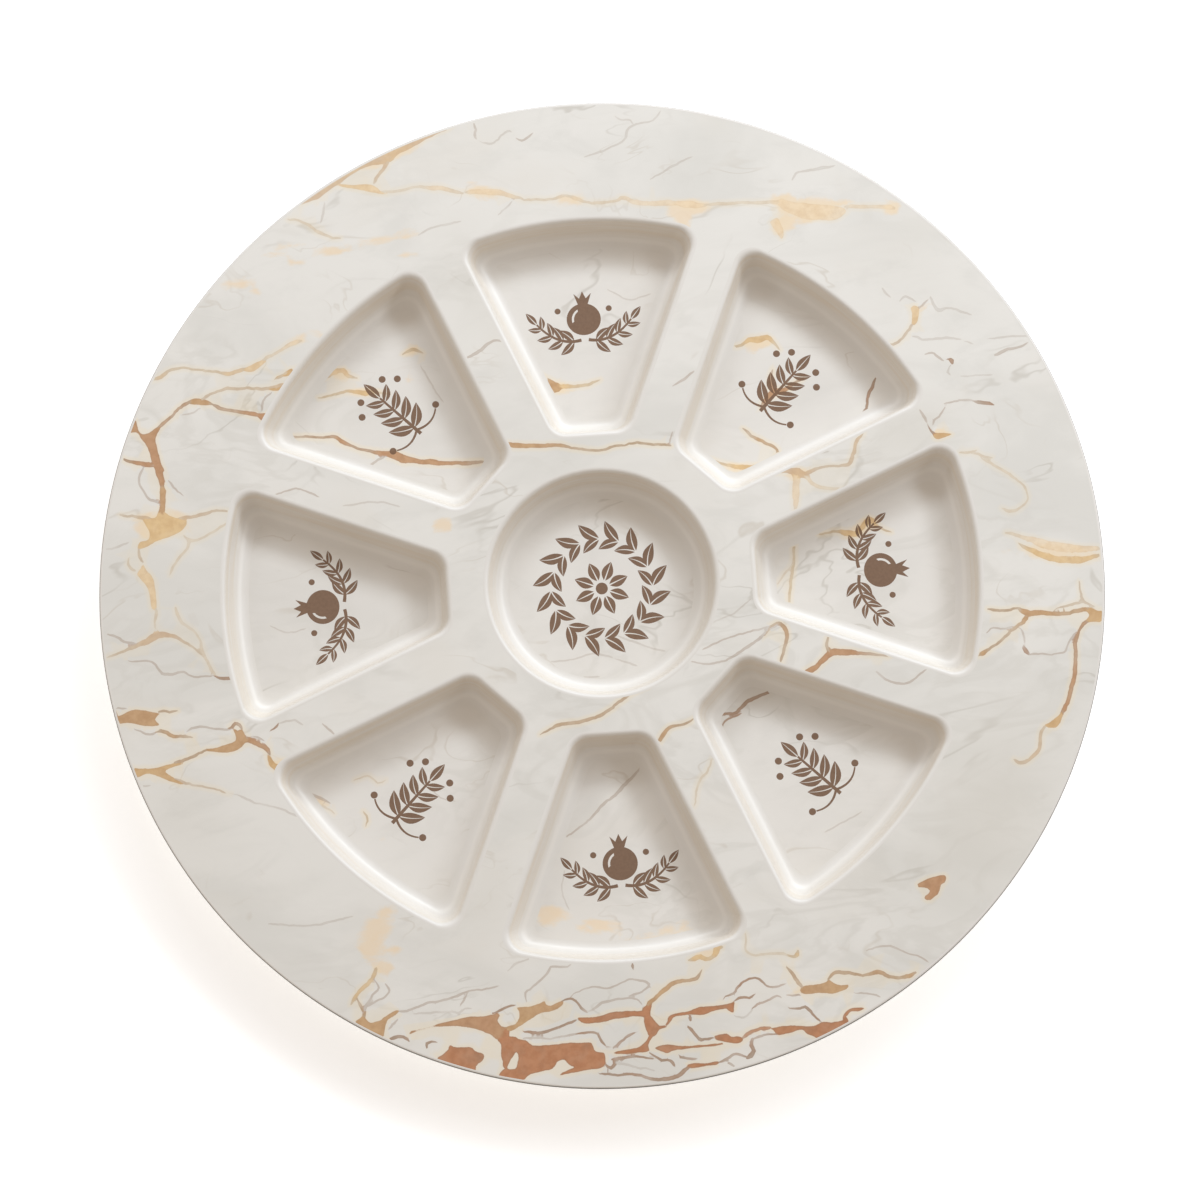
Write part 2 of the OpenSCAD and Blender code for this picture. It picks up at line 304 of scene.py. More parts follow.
DECK_VEINS = [
    ("k", -90, -166.5, 0.96, -87.1, -165.9, 1.2, -84.9, -165.7, 1.1, -83.1, -166.5, 0.96, -81.9, -167.5, 0.84),
    ("b", -85.3, -156.4, 0.9, -82.3, -156.4, 0.9, -77.9, -155.2, 0.8, -73.5, -153.8, 0.8, -68.4, -153.2, 0.8, -64.6, -152.6, 0.8, -60.8, -151.3, 0.7, -57.7, -150.7, 0.7, -53.2, -150.2, 0.6, -47.6, -149.5, 0.5),
    ("b", -59.6, -151.6, 0.6, -60.8, -153.8, 0.7, -62.6, -156.4, 0.5),
    ("y", -79.8, -157.7, 0.6, -73.5, -157.6, 0.7, -67.1, -157.7, 0.7, -62.8, -158.3, 0.8, -60.8, -157.2, 0.6, -57.7, -157, 0.5),
    ("k", -50.7, -159.2, 0.8, -48.1, -158.3, 0.9, -45.6, -157.4, 0.8, -42.1, -157, 0.8),
    ("b", -38, -155.8, 0.7, -38, -152.6, 0.8, -35.5, -150.7, 0.8, -32.3, -148.2, 0.8, -29.2, -145, 0.8, -28.4, -143.6, 0.7, -24.7, -143.7, 0.8, -22.8, -144, 0.8, -20.3, -142.8, 0.8),
    ("y", -44, -144, 0.6, -41.2, -141.5, 0.8, -38, -140.6, 0.7, -34.3, -139.8, 0.5),
    ("k", -24.7, -156.5, 0.9, -20.7, -156, 0.9, -19.1, -157.6, 1, -17.8, -159.6, 1.1, -15.8, -161.4, 0.9),
    ("k", -39.3, -166.8, 0.8, -35.5, -167.5, 1, -33, -167.8, 1.1, -29.8, -167, 1, -26.6, -165.9, 0.9, -22.8, -164.7, 0.9, -19.8, -163.9, 0.9),
    ("b", -39.9, -169.1, 0.6, -35.5, -169.3, 0.7, -29.8, -170, 0.7, -24.1, -169.3, 0.7, -19.7, -168.7, 0.8),
    ("k", -19.7, -168.7, 0.8, -13.3, -168.7, 0.9, -12.1, -170.3, 1.1, -11.1, -172.2, 1, -9.6, -174.1, 0.8),
    ("k", -7.1, -175, 0.96, -3.9, -172.9, 0.96, -1.3, -171, 0.96, 1.6, -169.9, 0.72),
    ("b", -15.2, -160.8, 0.8, -12.1, -159.6, 0.8, -10.2, -158.3, 0.8, -6.3, -157.7, 0.8, -1.3, -157, 0.7, 2.5, -157.7, 0.6, 4.6, -160.3, 0.6),
    ("b", -20.3, -154.1, 0.5, -16.4, -152.6, 0.6, -12.7, -152.3, 0.7, -9, -152.9, 0.7, -5.1, -151.9, 0.7, -1.3, -151, 0.7, 1.2, -150.4, 0.8, 5, -151, 0.9, 7.6, -152.3, 0.9, 5.6, -154.6, 0.7, 2.5, -155.8, 0.8, -0.5, -155.8, 0.6),
    ("k", -8.1, -179.4, 0.96, -2.6, -178.6, 0.96, 2.5, -178.7, 0.96, 7.6, -179.9, 0.84),
    ("y", -7.1, -180.6, 0.7, -2.6, -181.4, 0.8, 2.5, -183, 0.8, 8.1, -184.3, 0.6),
    ("k", -12.7, -184.2, 0.69, -5.1, -184.9, 0.92, 1.2, -185.5, 1, 6.2, -187.2, 1.1, 10.7, -187.6, 1.4, 15.1, -186.8, 1.6, 17.7, -185.7, 1.6, 20.2, -184.1, 1.6),
    ("k", -10.4, -181.1, 1.2, -8.7, -182.3, 1.2, -7.1, -181.1, 1.2, -7.7, -179.7, 1),
    ("k", 6.2, -177.4, 0.8, 9.5, -180.2, 0.9, 11.3, -180.8, 0.9, 13.5, -180.9, 0.9, 15.1, -182.9, 1.6),
    ("k", 17.7, -179.9, 1.6, 19.6, -180.2, 1, 23.4, -181.1, 0.78),
    ("k", 31.4, -182.7, 0.9, 35.4, -181.1, 0.9, 37.9, -180.2, 0.9, 39.9, -180.8, 0.8, 41.7, -181.5, 0.9),
    ("k", 34.8, -183, 1, 37.3, -185.2, 1),
    ("k", 44.3, -174.8, 1.4, 43.6, -177.2, 1.4, 44.3, -179.2, 1.6, 43, -181.1, 1.9, 41.7, -182.1, 1.4),
    ("k", 44.1, -175.2, 0.8, 46.1, -174.4, 0.9, 50.6, -174, 0.8, 53.6, -174, 0.8),
    ("c", 40.7, -174.6, 1.3, 43.6, -172.6, 1.3, 46.7, -171.8, 1.3, 51.2, -171.6, 1.6),
    ("k", 21.8, -164.9, 1.4, 21.8, -166.9, 1.5),
    ("k", 20.8, -169, 1.3, 22.7, -171, 1.1, 24.4, -173.5, 1.1, 25.6, -174.2, 1.1, 27.8, -173.8, 0.88, 30.3, -173.6, 0.88),
    ("o", 27.2, -148.7, 0.7, 25.3, -151.6, 1.3, 21.4, -152.3, 1.4, 17.1, -152.6, 1.6, 13.2, -154.9, 1.7, 10.1, -157.4, 1.6, 7.3, -159, 1.7, 6.6, -160.8, 1.8),
    ("o", 58.8, -149.9, 0.8, 60.7, -151.9, 1.2, 61.9, -154.9, 1.2, 63.9, -157.2, 1.6),
    ("o", 74, -155.2, 1.4, 75.3, -153.1, 1.4, 77.8, -152.5, 1.2, 81.6, -153.1, 1.2, 86.6, -154.6, 1.2, 89.9, -153.8, 1.4, 91.7, -153.3, 1.6, 94.2, -154.2, 1.4, 96.2, -155.5, 1.2, 100, -155.9, 1.1, 103.8, -155.8, 1.6, 106.3, -154.8, 1.6),
    ("k", 35.4, -158.6, 0.6, 38.5, -157.7, 0.8, 40.5, -155.5, 0.8, 43.6, -153.5, 0.8, 46.7, -152.7, 0.9, 49.4, -154.2, 0.9, 51.2, -156.1, 0.8, 54.4, -156.6, 0.9, 58.5, -155.4, 0.7),
    ("k", 38.5, -160.8, 0.9, 41.1, -159.6, 0.9, 44.3, -159.9, 0.9, 46.7, -158.6, 0.7),
    ("k", 45.3, -163.7, 0.7, 48.1, -162, 0.8, 51.8, -160.8, 0.8, 54.4, -159.7, 0.7, 56.1, -160.6, 0.6),
    ("y", 38.5, -166.5, 0.6, 41.7, -166.9, 0.7, 43.6, -165.6, 0.7, 45.5, -164, 0.6),
    ("k", 58.8, -164.7, 0.7, 62.6, -165, 0.8, 64.6, -164.7, 1.1, 66.4, -166.5, 1.1, 67.7, -168.4, 0.9, 69.6, -170.4, 0.8),
    ("k", 58.2, -159.6, 0.7, 63.3, -160.1, 0.8),
    ("b", 83.5, -160.7, 0.6, 87.3, -161.1, 0.7, 91.1, -162.1, 0.7, 92.7, -163.1, 0.5),
    ("s", 44.5, -136, 0.8, 44.3, -140, 0.9, 44.5, -142.6, 0.9, 46.7, -144.2, 0.9, 50.6, -144, 0.9, 54.4, -144.4, 0.9, 58.2, -144.7, 1, 60.3, -145.6, 1.1),
    ("g", 59.7, -145.2, 1.2, 61.7, -145.8, 0.9, 63.2, -145, 1.6, 63.6, -143.5, 1),
    ("b", 88.6, -145.3, 0.5, 93, -144.4, 0.7, 97.4, -144.5, 0.7, 101.2, -146, 0.7, 105.1, -147.9, 0.7, 108.8, -149.5, 0.7, 111.4, -151.5, 0.6),
    ("g", 22.8, -144.6, 1, 25.1, -144.2, 1.8, 27.2, -143.6, 1.8, 29.1, -144.6, 1.5, 31.6, -143.8, 1.3, 33, -142.4, 2.2, 33.6, -140.6, 2.4, 35.6, -140.6, 1.2),
    ("k", -75.5, -170.5, 1, -75.3, -168.9, 1.2, -73.6, -168.3, 0.9, -71.4, -168.7, 0.6),
    ("c", 78.3, -169.5, 1.6, 79.4, -168.1, 1.6, 81, -167.1, 1.4, 83.5, -166.6, 1.6, 86, -166.9, 1.2),
    ("k", 1.6, -144.6, 1.4, 2.2, -146.2, 1.2),
    ("g", -92.7, -140.1, 1.6, -93.8, -143.1, 1.4, -97.9, -146.6, 1.6, -100.7, -149.7, 1.6, -102.7, -152.9, 1),
    ("b", -93.6, -144.1, 0.8, -92.2, -147.3, 0.8, -94.4, -149.7, 0.9, -96.2, -152.2, 1, -97.9, -154.3, 1.2, -98.3, -157.4, 1.2),
    ("b", -89.8, -145.6, 0.8, -88.3, -148.3, 0.9, -89.8, -150.5, 0.8, -93.2, -151.9, 0.8, -96.6, -153.7, 0.9),
    ("o", -100.1, -151.2, 1, -98.9, -153.7, 1.1, -98.1, -155.8, 1.3, -98.3, -157.8, 1.8),
    ("b", -85.9, -159.4, 0.7, -87.7, -161.2, 0.8, -89.8, -162.9, 0.6),
    ("t", -165.5, 55.9, 2.6, -164.5, 51.8, 2.2, -164.1, 48.2, 2),
    ("o", -164.1, 48.8, 2, -164.1, 43.7, 2, -164.5, 39.7, 2.2, -164.5, 37.1, 2.6),
    ("t", -164.7, 71.5, 1.6, -162.1, 73.5, 1.4, -159.4, 75.3, 1.2, -158, 77.1, 1.3, -155, 79.6, 1.3, -152.3, 80.8, 1.6),
    ("o", -152.7, 80.6, 1.8, -149.9, 80.6, 2.4, -146.9, 80, 2.2, -143.8, 79, 1.4),
    ("t", -143.8, 79, 1.2, -139.8, 77.1, 1.2, -135.7, 76.1, 1.2, -131.7, 75.1, 1.6, -128.1, 74.3, 1.8, -126, 73.5, 2.2),
    ("p", -147.9, 81.2, 1.2, -145.2, 83, 1.1, -141.8, 84, 1.1, -137.7, 85.1, 1.2, -132.7, 84.8, 1.2, -127.6, 84.4, 1.2, -123.1, 83.9, 1.2, -119.5, 84.2, 1.6, -115.9, 84.8, 2, -114.7, 85.4, 1),
    ("b", -121.1, 82.2, 0.7, -123.4, 80.6, 0.8, -124.4, 78.2, 0.9, -124.8, 75.1, 0.9),
    ("b", -148.4, 77.8, 0.6, -151.9, 76.3, 0.7, -156, 75.5, 0.5),
    ("t", -179.3, 60.3, 0.8, -176.2, 58.9, 1.2, -173.2, 58.1, 1.8, -170.2, 57.7, 1.8, -167.1, 57.1, 2),
    ("b", -171.2, 56.5, 0.8, -172.6, 53.2, 0.9, -173, 50.4, 0.9, -171.6, 47.2, 0.9, -169.7, 43.9, 0.9, -167.1, 42.7, 0.9, -165.7, 41.7, 0.8),
    ("b", -161.4, 50.2, 1, -159.8, 47.8, 0.9, -157.6, 45.3, 0.7, -156, 43.7, 0.5),
    ("p", -180.9, 38.3, 0.8, -176.2, 37.7, 1, -172.2, 36.6, 1.4, -169.1, 36, 1.8),
    ("p", -158, 35.4, 1.6, -154, 35.8, 1.5, -149.9, 36.4, 1.3, -145.9, 37.3, 1.2, -142.8, 37.5, 1, -138.8, 36.8, 0.9),
    ("y", -186.4, 25.3, 0.7, -182.3, 25.9, 0.9, -177.6, 27.7, 0.8),
    ("p", -174.2, 24.1, 1.2, -173.8, 21.5, 1, -172.6, 19.2, 1.2),
    ("s", -156.2, 27.9, 1.2, -154.4, 26.7, 1.2, -150.9, 26.9, 1, -146.9, 28.9, 0.9, -142.8, 31, 0.9, -139.8, 33.2, 0.8),
    ("s", -155, 27.1, 1.2, -155.8, 23.5, 1, -159, 20.4, 1, -161.7, 16.8, 1, -162.5, 13.4, 0.8),
    ("s", -177.9, 20.9, 0.7, -177.9, 18, 0.9, -175.6, 16, 1.2),
    ("s", -168.5, 1.2, 1.2, -168.9, -2.9, 1, -169.1, -6.9, 1),
    ("p", -187.8, -16.4, 0.9, -183.3, -15, 1, -179.3, -13.8, 1.1, -175.2, -12.2, 1.6, -172.2, -11.2, 2.2, -169.6, -9.5, 2.6, -166.7, -8.8, 2.4, -163.1, -9.7, 1.7, -160, -11.4, 1.3, -157, -13.2, 1.1, -154, -15.6, 1, -151.9, -18, 0.9),
    ("b", -187, -7.5, 1, -183.3, -8.9, 0.9, -180.3, -11, 0.9, -176.8, -12, 1),
    ("s", -161, 0.8, 1.3, -160.4, -2.9, 1.1, -158, -5.9, 0.9, -154.6, -8.5, 0.8, -152.3, -12, 0.8, -151.9, -15.4, 1.2, -150.5, -19.5, 1, -148.9, -23.1, 1, -146.9, -25.7, 1),
    ("b", -179.3, -18.4, 0.6, -173.2, -18.8, 0.7, -170.2, -19.7, 0.8, -168.5, -21.5, 0.9, -167.1, -23.7, 1, -164.5, -24.5, 1, -162.1, -24.1, 0.8, -159, -23.7, 0.8, -156.4, -25.5, 0.7, -151.9, -25.9, 0.7, -147.9, -25.7, 0.8),
    ("k", -147.3, -25.9, 0.8, -144.8, -27.2, 1.2, -142.4, -27.4, 1.2, -140.6, -27.2, 0.8),
    ("b", -185.3, -35.9, 0.8, -181.3, -36.3, 0.7),
    ("o", -169.1, -38.3, 1.2, -167.1, -37.9, 1, -165.1, -38.5, 1, -161.7, -38.5, 0.7),
    ("o", -170.2, -45.8, 0.8, -168.1, -45.6, 1.2, -165.7, -47, 1.5, -164.1, -48.2, 1.6, -161.5, -48, 1.2, -159.4, -48.4, 1, -156.6, -49, 0.6),
    ("b", -178.3, -44.4, 0.7, -174.2, -46.2, 0.9, -171.8, -46.4, 0.8, -170.2, -45.8, 0.8),
    ("b", -159, -46.6, 0.7, -157, -45.3, 0.9, -152.9, -45.2, 0.9, -148.9, -46, 0.9, -144.8, -46.8, 0.8, -142.2, -46.6, 0.8),
    ("t", -143.4, -46.2, 1, -141.8, -46, 1.2, -140.6, -44.6, 1.2, -139, -45.4, 1, -138.2, -47, 1.2),
    ("b", -134.7, -49.8, 0.6, -131.7, -51.1, 0.7, -129.7, -52.3, 0.6),
    ("t", -136.7, -50.4, 2.2, -133.7, -52.3, 1.8, -130.7, -54.1, 1.6, -128.6, -55.7, 1.6, -128.2, -57.7, 1.4),
    ("o", -151.9, -54.1, 1.2, -154, -54.9, 1, -157, -56.4, 1.1, -161, -57.5, 1.2, -164.1, -58.3, 1.4),
    ("p", -164.1, -64.2, 1, -161, -65.8, 1.4, -158, -66.8, 0.7, -154, -67.5, 0.8, -149.9, -68.7, 0.8, -146.9, -69.9, 0.7, -145.3, -70.7, 0.5),
    ("y", -178.3, -66.2, 0.7, -173.2, -66, 0.7),
    ("k", -127.6, -48.2, 0.7, -125.6, -47, 0.9, -124.6, -45.6, 0.9),
    ("y", -124.2, -45.8, 0.8, -120.5, -45, 0.8, -117.5, -45.2, 0.8, -115.1, -46.8, 0.8),
    ("q", -166.1, 90.3, 1, -163.7, 91.3, 1.6, -161.4, 92.3, 1.4, -159, 93.8, 1, -153.9, 94.4, 0.8, -147.9, 92.9, 0.9, -142.8, 92.1, 1, -139.8, 91.3, 1.2, -137.1, 90.7, 1.8, -133.7, 91.7, 1.6, -130.7, 92.3, 1.8),
    ("w", -123.6, 95.2, 1.4, -120.5, 97, 1.2, -117.5, 98.4, 1.3, -114.5, 100, 1.5, -111.4, 101.2, 1.8, -108.4, 101.8, 1.2),
    ("q", -119.1, 87.7, 0.9, -116.5, 88.7, 1.3, -113.8, 90.3, 1.6),
    ("g", -113, 88.5, 1, -111.4, 89.7, 1.6, -110, 91.3, 1.2),
    ("y", -96.8, 156.1, 0.9, -97.4, 152.1, 0.8, -98.9, 148.6, 0.6),
    ("s", -111.4, 150.6, 0.8, -107.4, 150, 1, -103.3, 147.6, 1.2, -99.3, 144.4, 1.2, -95.2, 142.4, 1, -91.2, 141.9, 0.8),
    ("p", -71.3, 171.3, 2, -73.9, 168.3, 1.5, -76, 165.6, 1.4, -77.4, 162.6, 1.4),
    ("s", -75, 159.2, 1.2, -68.9, 159.2, 1, -62.8, 160.2, 1.1, -58.1, 160.1, 1.2, -54.7, 159.2, 2, -50.7, 159, 1.8, -47.2, 157.7, 1.3, -43.2, 156.5, 1.2),
    ("w", -42.2, 156.9, 1.6, -37.5, 156.9, 2.2, -31.4, 156.3, 2.4, -27.4, 155.3, 2, -23.3, 153.9, 1.4, -20.3, 152.7, 1),
    ("s", -20.3, 152.5, 1.2, -15.2, 151.9, 1, -9.1, 151.9, 1, -4.1, 152.9, 1.6),
    ("s", -2.1, 152.5, 1.6, 3, 150, 1.2, 9.1, 149, 1.2, 15.2, 149.6, 1.2, 18.2, 150.6, 1.5, 22.3, 148.4, 1.6, 27.3, 147.4, 1.8, 33.4, 147.4, 2, 38.5, 147, 2.2),
    ("w", 37.4, 147, 1.8, 42.5, 146, 2.8, 46.6, 145.4, 2, 50.6, 145.4, 1.2),
    ("s", 50.6, 145.4, 1.3, 58.7, 145.4, 1.2, 66.8, 145.2, 1.2, 72.9, 144.8, 1.2, 79, 144.4, 1.6),
    ("s", 103.3, 140.7, 1.6, 108.3, 140.7, 1.6, 113.4, 140.5, 1.4, 118.5, 139.9, 1.8, 122.5, 138.9, 2.2),
    ("y", 4.5, 167.9, 0.6, 9.6, 169.3, 0.8, 14.2, 170.9, 0.8, 19.2, 173.1, 0.8, 20.8, 175, 0.9, 21.8, 178, 0.9, 24.3, 179.6, 0.9, 27.3, 180.2, 0.8, 31, 180.8, 0.8, 33.4, 182.4, 0.8, 35.2, 184.9, 0.6),
    ("y", 17.2, 183.7, 0.7, 19.6, 182, 0.8, 23.3, 181.4, 0.7, 23.7, 179.8, 0.7),
    ("b", -37.5, 184.5, 0.8, -36.9, 182, 0.9, -37.5, 179.6, 1.3, -36.5, 177.8, 0.8),
    ("y", -34.5, 176.4, 0.7, -30.8, 176, 0.8, -28.4, 177.4, 0.8, -26.8, 179.4, 0.8, -24.7, 180.4, 0.8, -22.9, 179.8, 0.7),
    ("b", -21.3, 177.4, 0.7, -19.3, 176.2, 1, -17.2, 177.4, 1, -14.6, 179, 0.7),
    ("y", 29.3, 157.1, 0.6, 34.4, 159.8, 0.8, 40.5, 163.2, 0.8, 46.6, 165.2, 0.6),
    ("y", 84, 153.1, 0.8, 86, 156.1, 1, 91.1, 156.7, 0.9, 96.2, 157.1, 1.2, 101.2, 158.1, 0.8),
    ("y", -61.4, 140.9, 0.7, -56.7, 143.4, 0.8, -50.7, 144.6, 0.8, -44.6, 145.2, 0.6),
    ("y", -30.4, 147, 0.6, -26.4, 150, 0.7, -24.3, 152.5, 0.6),
    ("p", 113.9, 85.2, 1.2, 117.4, 85, 1, 120.5, 86.6, 1, 123.5, 89.9, 1, 125.3, 92.7, 1.2),
    ("b", 128.2, 98.6, 0.9, 130.6, 100.4, 0.9, 132.6, 101.8, 0.8),
    ("y", 121.3, 102, 0.7, 123.5, 103.7, 0.8, 126.1, 102.4, 0.8, 127.6, 101, 0.7),
    ("y", 114.8, 107.5, 1, 116.4, 105.1, 0.8, 118, 103.5, 0.6),
    ("y", 133.2, 102.8, 0.8, 134.2, 99.8, 1, 135.7, 97.4, 1.4, 138.7, 98, 0.9, 141.7, 97.6, 1, 144.8, 96.2, 1, 148.4, 94.5, 0.7),
    ("y", 125.1, 87.7, 0.8, 129.6, 86.2, 0.9, 134.7, 86.2, 0.9, 139.7, 86, 0.9, 143.8, 85, 0.7),
    ("y", 144.8, 84.2, 0.6, 148.2, 82.8, 0.7),
    ("b", 129.2, 80.4, 0.8, 132, 81, 1, 134, 79.2, 1, 136.1, 77.5, 0.9),
    ("k", 138.1, 78.1, 1.4, 139.5, 77.3, 2.2, 139.7, 75.9, 1.2),
    ("y", 138.1, 74.7, 0.7, 137.1, 72.5, 0.8, 138.5, 71.3, 0.7),
    ("y", 154.5, 84.8, 0.6, 160, 85.2, 0.8, 166, 85, 0.8, 170.1, 85.2, 0.8),
    ("b", 155.7, 78.1, 1.2, 158.5, 79.4, 1.1, 162, 80.2, 0.9, 166, 80.8, 0.9, 169.1, 82.4, 0.9),
    ("y", 142.1, 70.8, 0.5, 147.8, 70.8, 0.6, 154.9, 70.4, 0.5),
    ("b", 134.6, 60.3, 0.6, 138.7, 61.1, 0.8, 142.8, 61.5, 0.8, 146.2, 61.1, 0.9),
    ("k", 146.2, 60.9, 1, 148.8, 59.9, 1.4, 151.9, 59.3, 1.3, 153.9, 58.5, 0.8),
    ("b", 125.3, 58.9, 0.7, 126.5, 56.3, 0.9, 127.6, 53.2, 0.9),
    ("b", 135.1, 58.9, 0.6, 132.6, 55.7, 0.7, 130.4, 54.2, 0.9, 129.6, 52.2, 1),
    ("k", 128.4, 51.2, 0.9, 129.6, 49.4, 1.2, 130.6, 48.2, 1.4),
    ("s", 139.3, 41.3, 0.9, 142.8, 40.7, 1, 145.8, 41.5, 0.9),
    ("s", 144.2, 40.3, 1.1, 147.8, 39.1, 1, 151.5, 38, 0.8),
    ("s", 147.4, 38.2, 0.9, 150.9, 35.8, 1.1, 154.3, 33.2, 1.1, 157.3, 31, 1.2, 160, 28.5, 0.8, 162.6, 25.9, 0.8, 163.4, 22.4, 0.8, 162.4, 19.8, 0.8, 160, 17.8, 1, 155.9, 17.2, 1.1, 152.9, 18.4, 0.9),
    ("o", 144.4, -20.1, 0.9, 147.8, -20.9, 1, 151.9, -21.1, 0.9, 155.5, -20.5, 0.8, 156.9, -21.5, 1.4, 159, -22.3, 2.4, 162, -22.9, 2.2, 167.1, -23.1, 1.8, 172.1, -23.9, 1.4, 176.2, -23.7, 1.3, 180.2, -22.7, 1.6, 182.8, -22.7, 2),
    ("p", 170.1, -21.9, 0.6, 174.1, -21.1, 0.8, 178.2, -20.1, 0.9, 180.8, -19.7, 0.8),
    ("p", 179.6, -12, 0.7, 180, -15, 0.9, 180.2, -18.7, 1.1, 182.2, -20.5, 1, 184.9, -21.9, 0.8),
    ("o", 159.6, -22.7, 2, 157.9, -25.1, 1.6, 155.9, -27, 1.4, 152.9, -28.6, 1.2, 150.2, -31.2, 1.1, 146.8, -33.7, 1, 143.8, -35.3, 1, 141.3, -36.9, 1.8, 139.3, -37.7, 1.4),
    ("b", 143.6, -29.4, 0.6, 146.2, -27.6, 0.7, 149.8, -27.8, 0.7, 153.9, -27.4, 0.8),
    ("b", 156.3, -28.6, 0.9, 157.1, -31.2, 0.9, 157.1, -34.3, 0.9),
    ("k", 156.7, -35.9, 2, 157.5, -37.3, 1.5, 158.5, -38.5, 1.2),
    ("b", 158.5, -38.5, 0.7, 162, -38.5, 0.7, 168.1, -39.1, 0.7, 171.7, -38.5, 0.8, 173.1, -36.3, 0.7, 175.2, -32.8, 0.7, 177.2, -30.6, 0.7),
    ("t", 181.6, -27.2, 1.8, 179.2, -29.2, 1.4, 177.2, -32.2, 1.4, 176.2, -35.3, 1.4, 175.8, -40.3, 1.4, 174.9, -45.4, 1.6, 174.1, -49.5, 1.8, 173.1, -52.9, 1.5, 171.9, -55.9, 1.6, 170.5, -59, 1.8, 169.1, -61.2, 2),
    ("p", 162, -66.1, 1.4, 160.6, -68.1, 1.3, 160, -70.7, 1.3, 159.6, -73.1, 1.4, 158.3, -75.6, 1.6, 155.9, -77.6, 1.5, 153.3, -79.2, 1.3, 150.8, -79.4, 1.3, 149.2, -77.8, 1.4),
    # spokes and ring
    ("y", -132, -120.6, 0.6, -117, -122.4, 0.7, -100, -120, 0.6),
    ("y", -141, -72, 0.6, -135, -75, 0.7, -128, -77, 0.7, -120, -80.6, 0.8, -114, -82.6, 0.7),
    ("b", -108, -47, 0.6, -105.4, -49.8, 0.8, -102.8, -52, 0.6),
    ("b", -122, 42.4, 0.6, -112.5, 43.8, 0.7, -104.4, 40, 0.6),
    ("y", -96, 36, 0.6, -84, 37, 0.7, -74, 34, 0.6),
    ("b", -46.4, 91, 0.8, -43, 92, 1.1, -40, 93.6, 1.4, -37, 96, 1.1, -34, 97, 0.8, -31, 96, 0.6),
    ("b", 32, 74.6, 0.6, 36, 76.3, 0.9, 40.6, 80, 0.8),
    ("w", 153.6, 9, 0.9, 162, 6, 1.6, 168, 3.6, 3.2, 175, 1.6, 3.6, 182, 0.6, 2.6, 189, 0.4, 1.6),
    ("g", 158.4, 4.4, 0.9, 165, 0, 2, 172, -2.6, 2.8, 180, -3.6, 2.4, 189, -2, 1.1),
    ("p", 68, 37.6, 1, 73, 38.4, 1.7, 77, 37.4, 3.8, 80.4, 36.6, 1.8, 85, 38.6, 1.2, 92, 39, 1.1, 97, 39.7, 1.4, 98.7, 43, 1.4, 100.4, 48, 1.6, 103.6, 52.4, 1.2),
    ("w", 77, 36.6, 2.8, 76, 30, 2.4, 75, 23, 1.5),
    ("s", 79.6, 36, 1.6, 84, 31.6, 1.4, 88.4, 30.4, 1.1, 95.6, 30.2, 0.9),
    ("y", 83, 43.6, 0.6, 90, 45, 0.6),
    ("o", 60, -24.6, 0.8, 63, -21.4, 1, 65.6, -20.2, 1.1, 67.6, -22, 1.5, 68.4, -25, 1.5, 67.4, -29, 1.2, 66, -33, 1, 65, -36, 0.7),
    ("b", 65.6, -20.2, 0.8, 59, -24.4, 0.9, 53, -28.6, 1, 47.6, -31.6, 0.8, 40, -34, 0.7, 31, -32.6, 0.6),
    ("b", 65, -21, 0.6, 53, -23, 0.7, 45, -25, 0.7, 36, -28.4, 0.6),
    ("y", 55.6, -10, 0.5, 49, -15, 0.6, 38.6, -19.4, 0.6),
    ("t", 72.6, -40.2, 1.4, 76, -39, 2.4, 80, -36.6, 2, 83, -34, 2, 86, -32.8, 2.8, 91, -33, 2.1, 97, -34, 1.3, 107, -36, 0.6),
    ("o", 84, -33.4, 1.1, 83, -29, 0.9, 84.6, -26, 0.7),
    ("b", 100.6, -41, 0.7, 104, -44, 0.9, 108, -46, 0.9, 113, -45.8, 0.9, 120, -41.4, 0.6),
    ("o", -33.6, 56, 2, -28, 55.2, 1.9, -20, 54.5, 1.7, -12, 54, 1.5, -8, 53, 1.1, 0, 51.4, 1, 5, 51.5, 0.9, 10, 52.5, 0.9, 17, 53, 0.9, 24, 52, 1, 30, 51.2, 0.8),
    ("b", 29, 51.4, 0.6, 31, 57, 0.6),
    ("o", -27, -56.6, 0.6, -20, -53.7, 1.2, -12, -52.6, 1.2, -4, -51, 1.2, 1, -48.2, 1.1, 6, -44.4, 1.2, 11, -42, 1, 15, -41, 0.6),
    ("o", 15.6, -64.4, 1.4, 20, -59, 1.6, 23, -57, 1.3, 28, -56, 1, 31.4, -54.4, 0.6),
    ("s", 37, -69.6, 0.6, 34.4, -75, 0.9, 31.4, -78, 0.9, 30.2, -82, 0.8, 29, -88, 0.5),
]

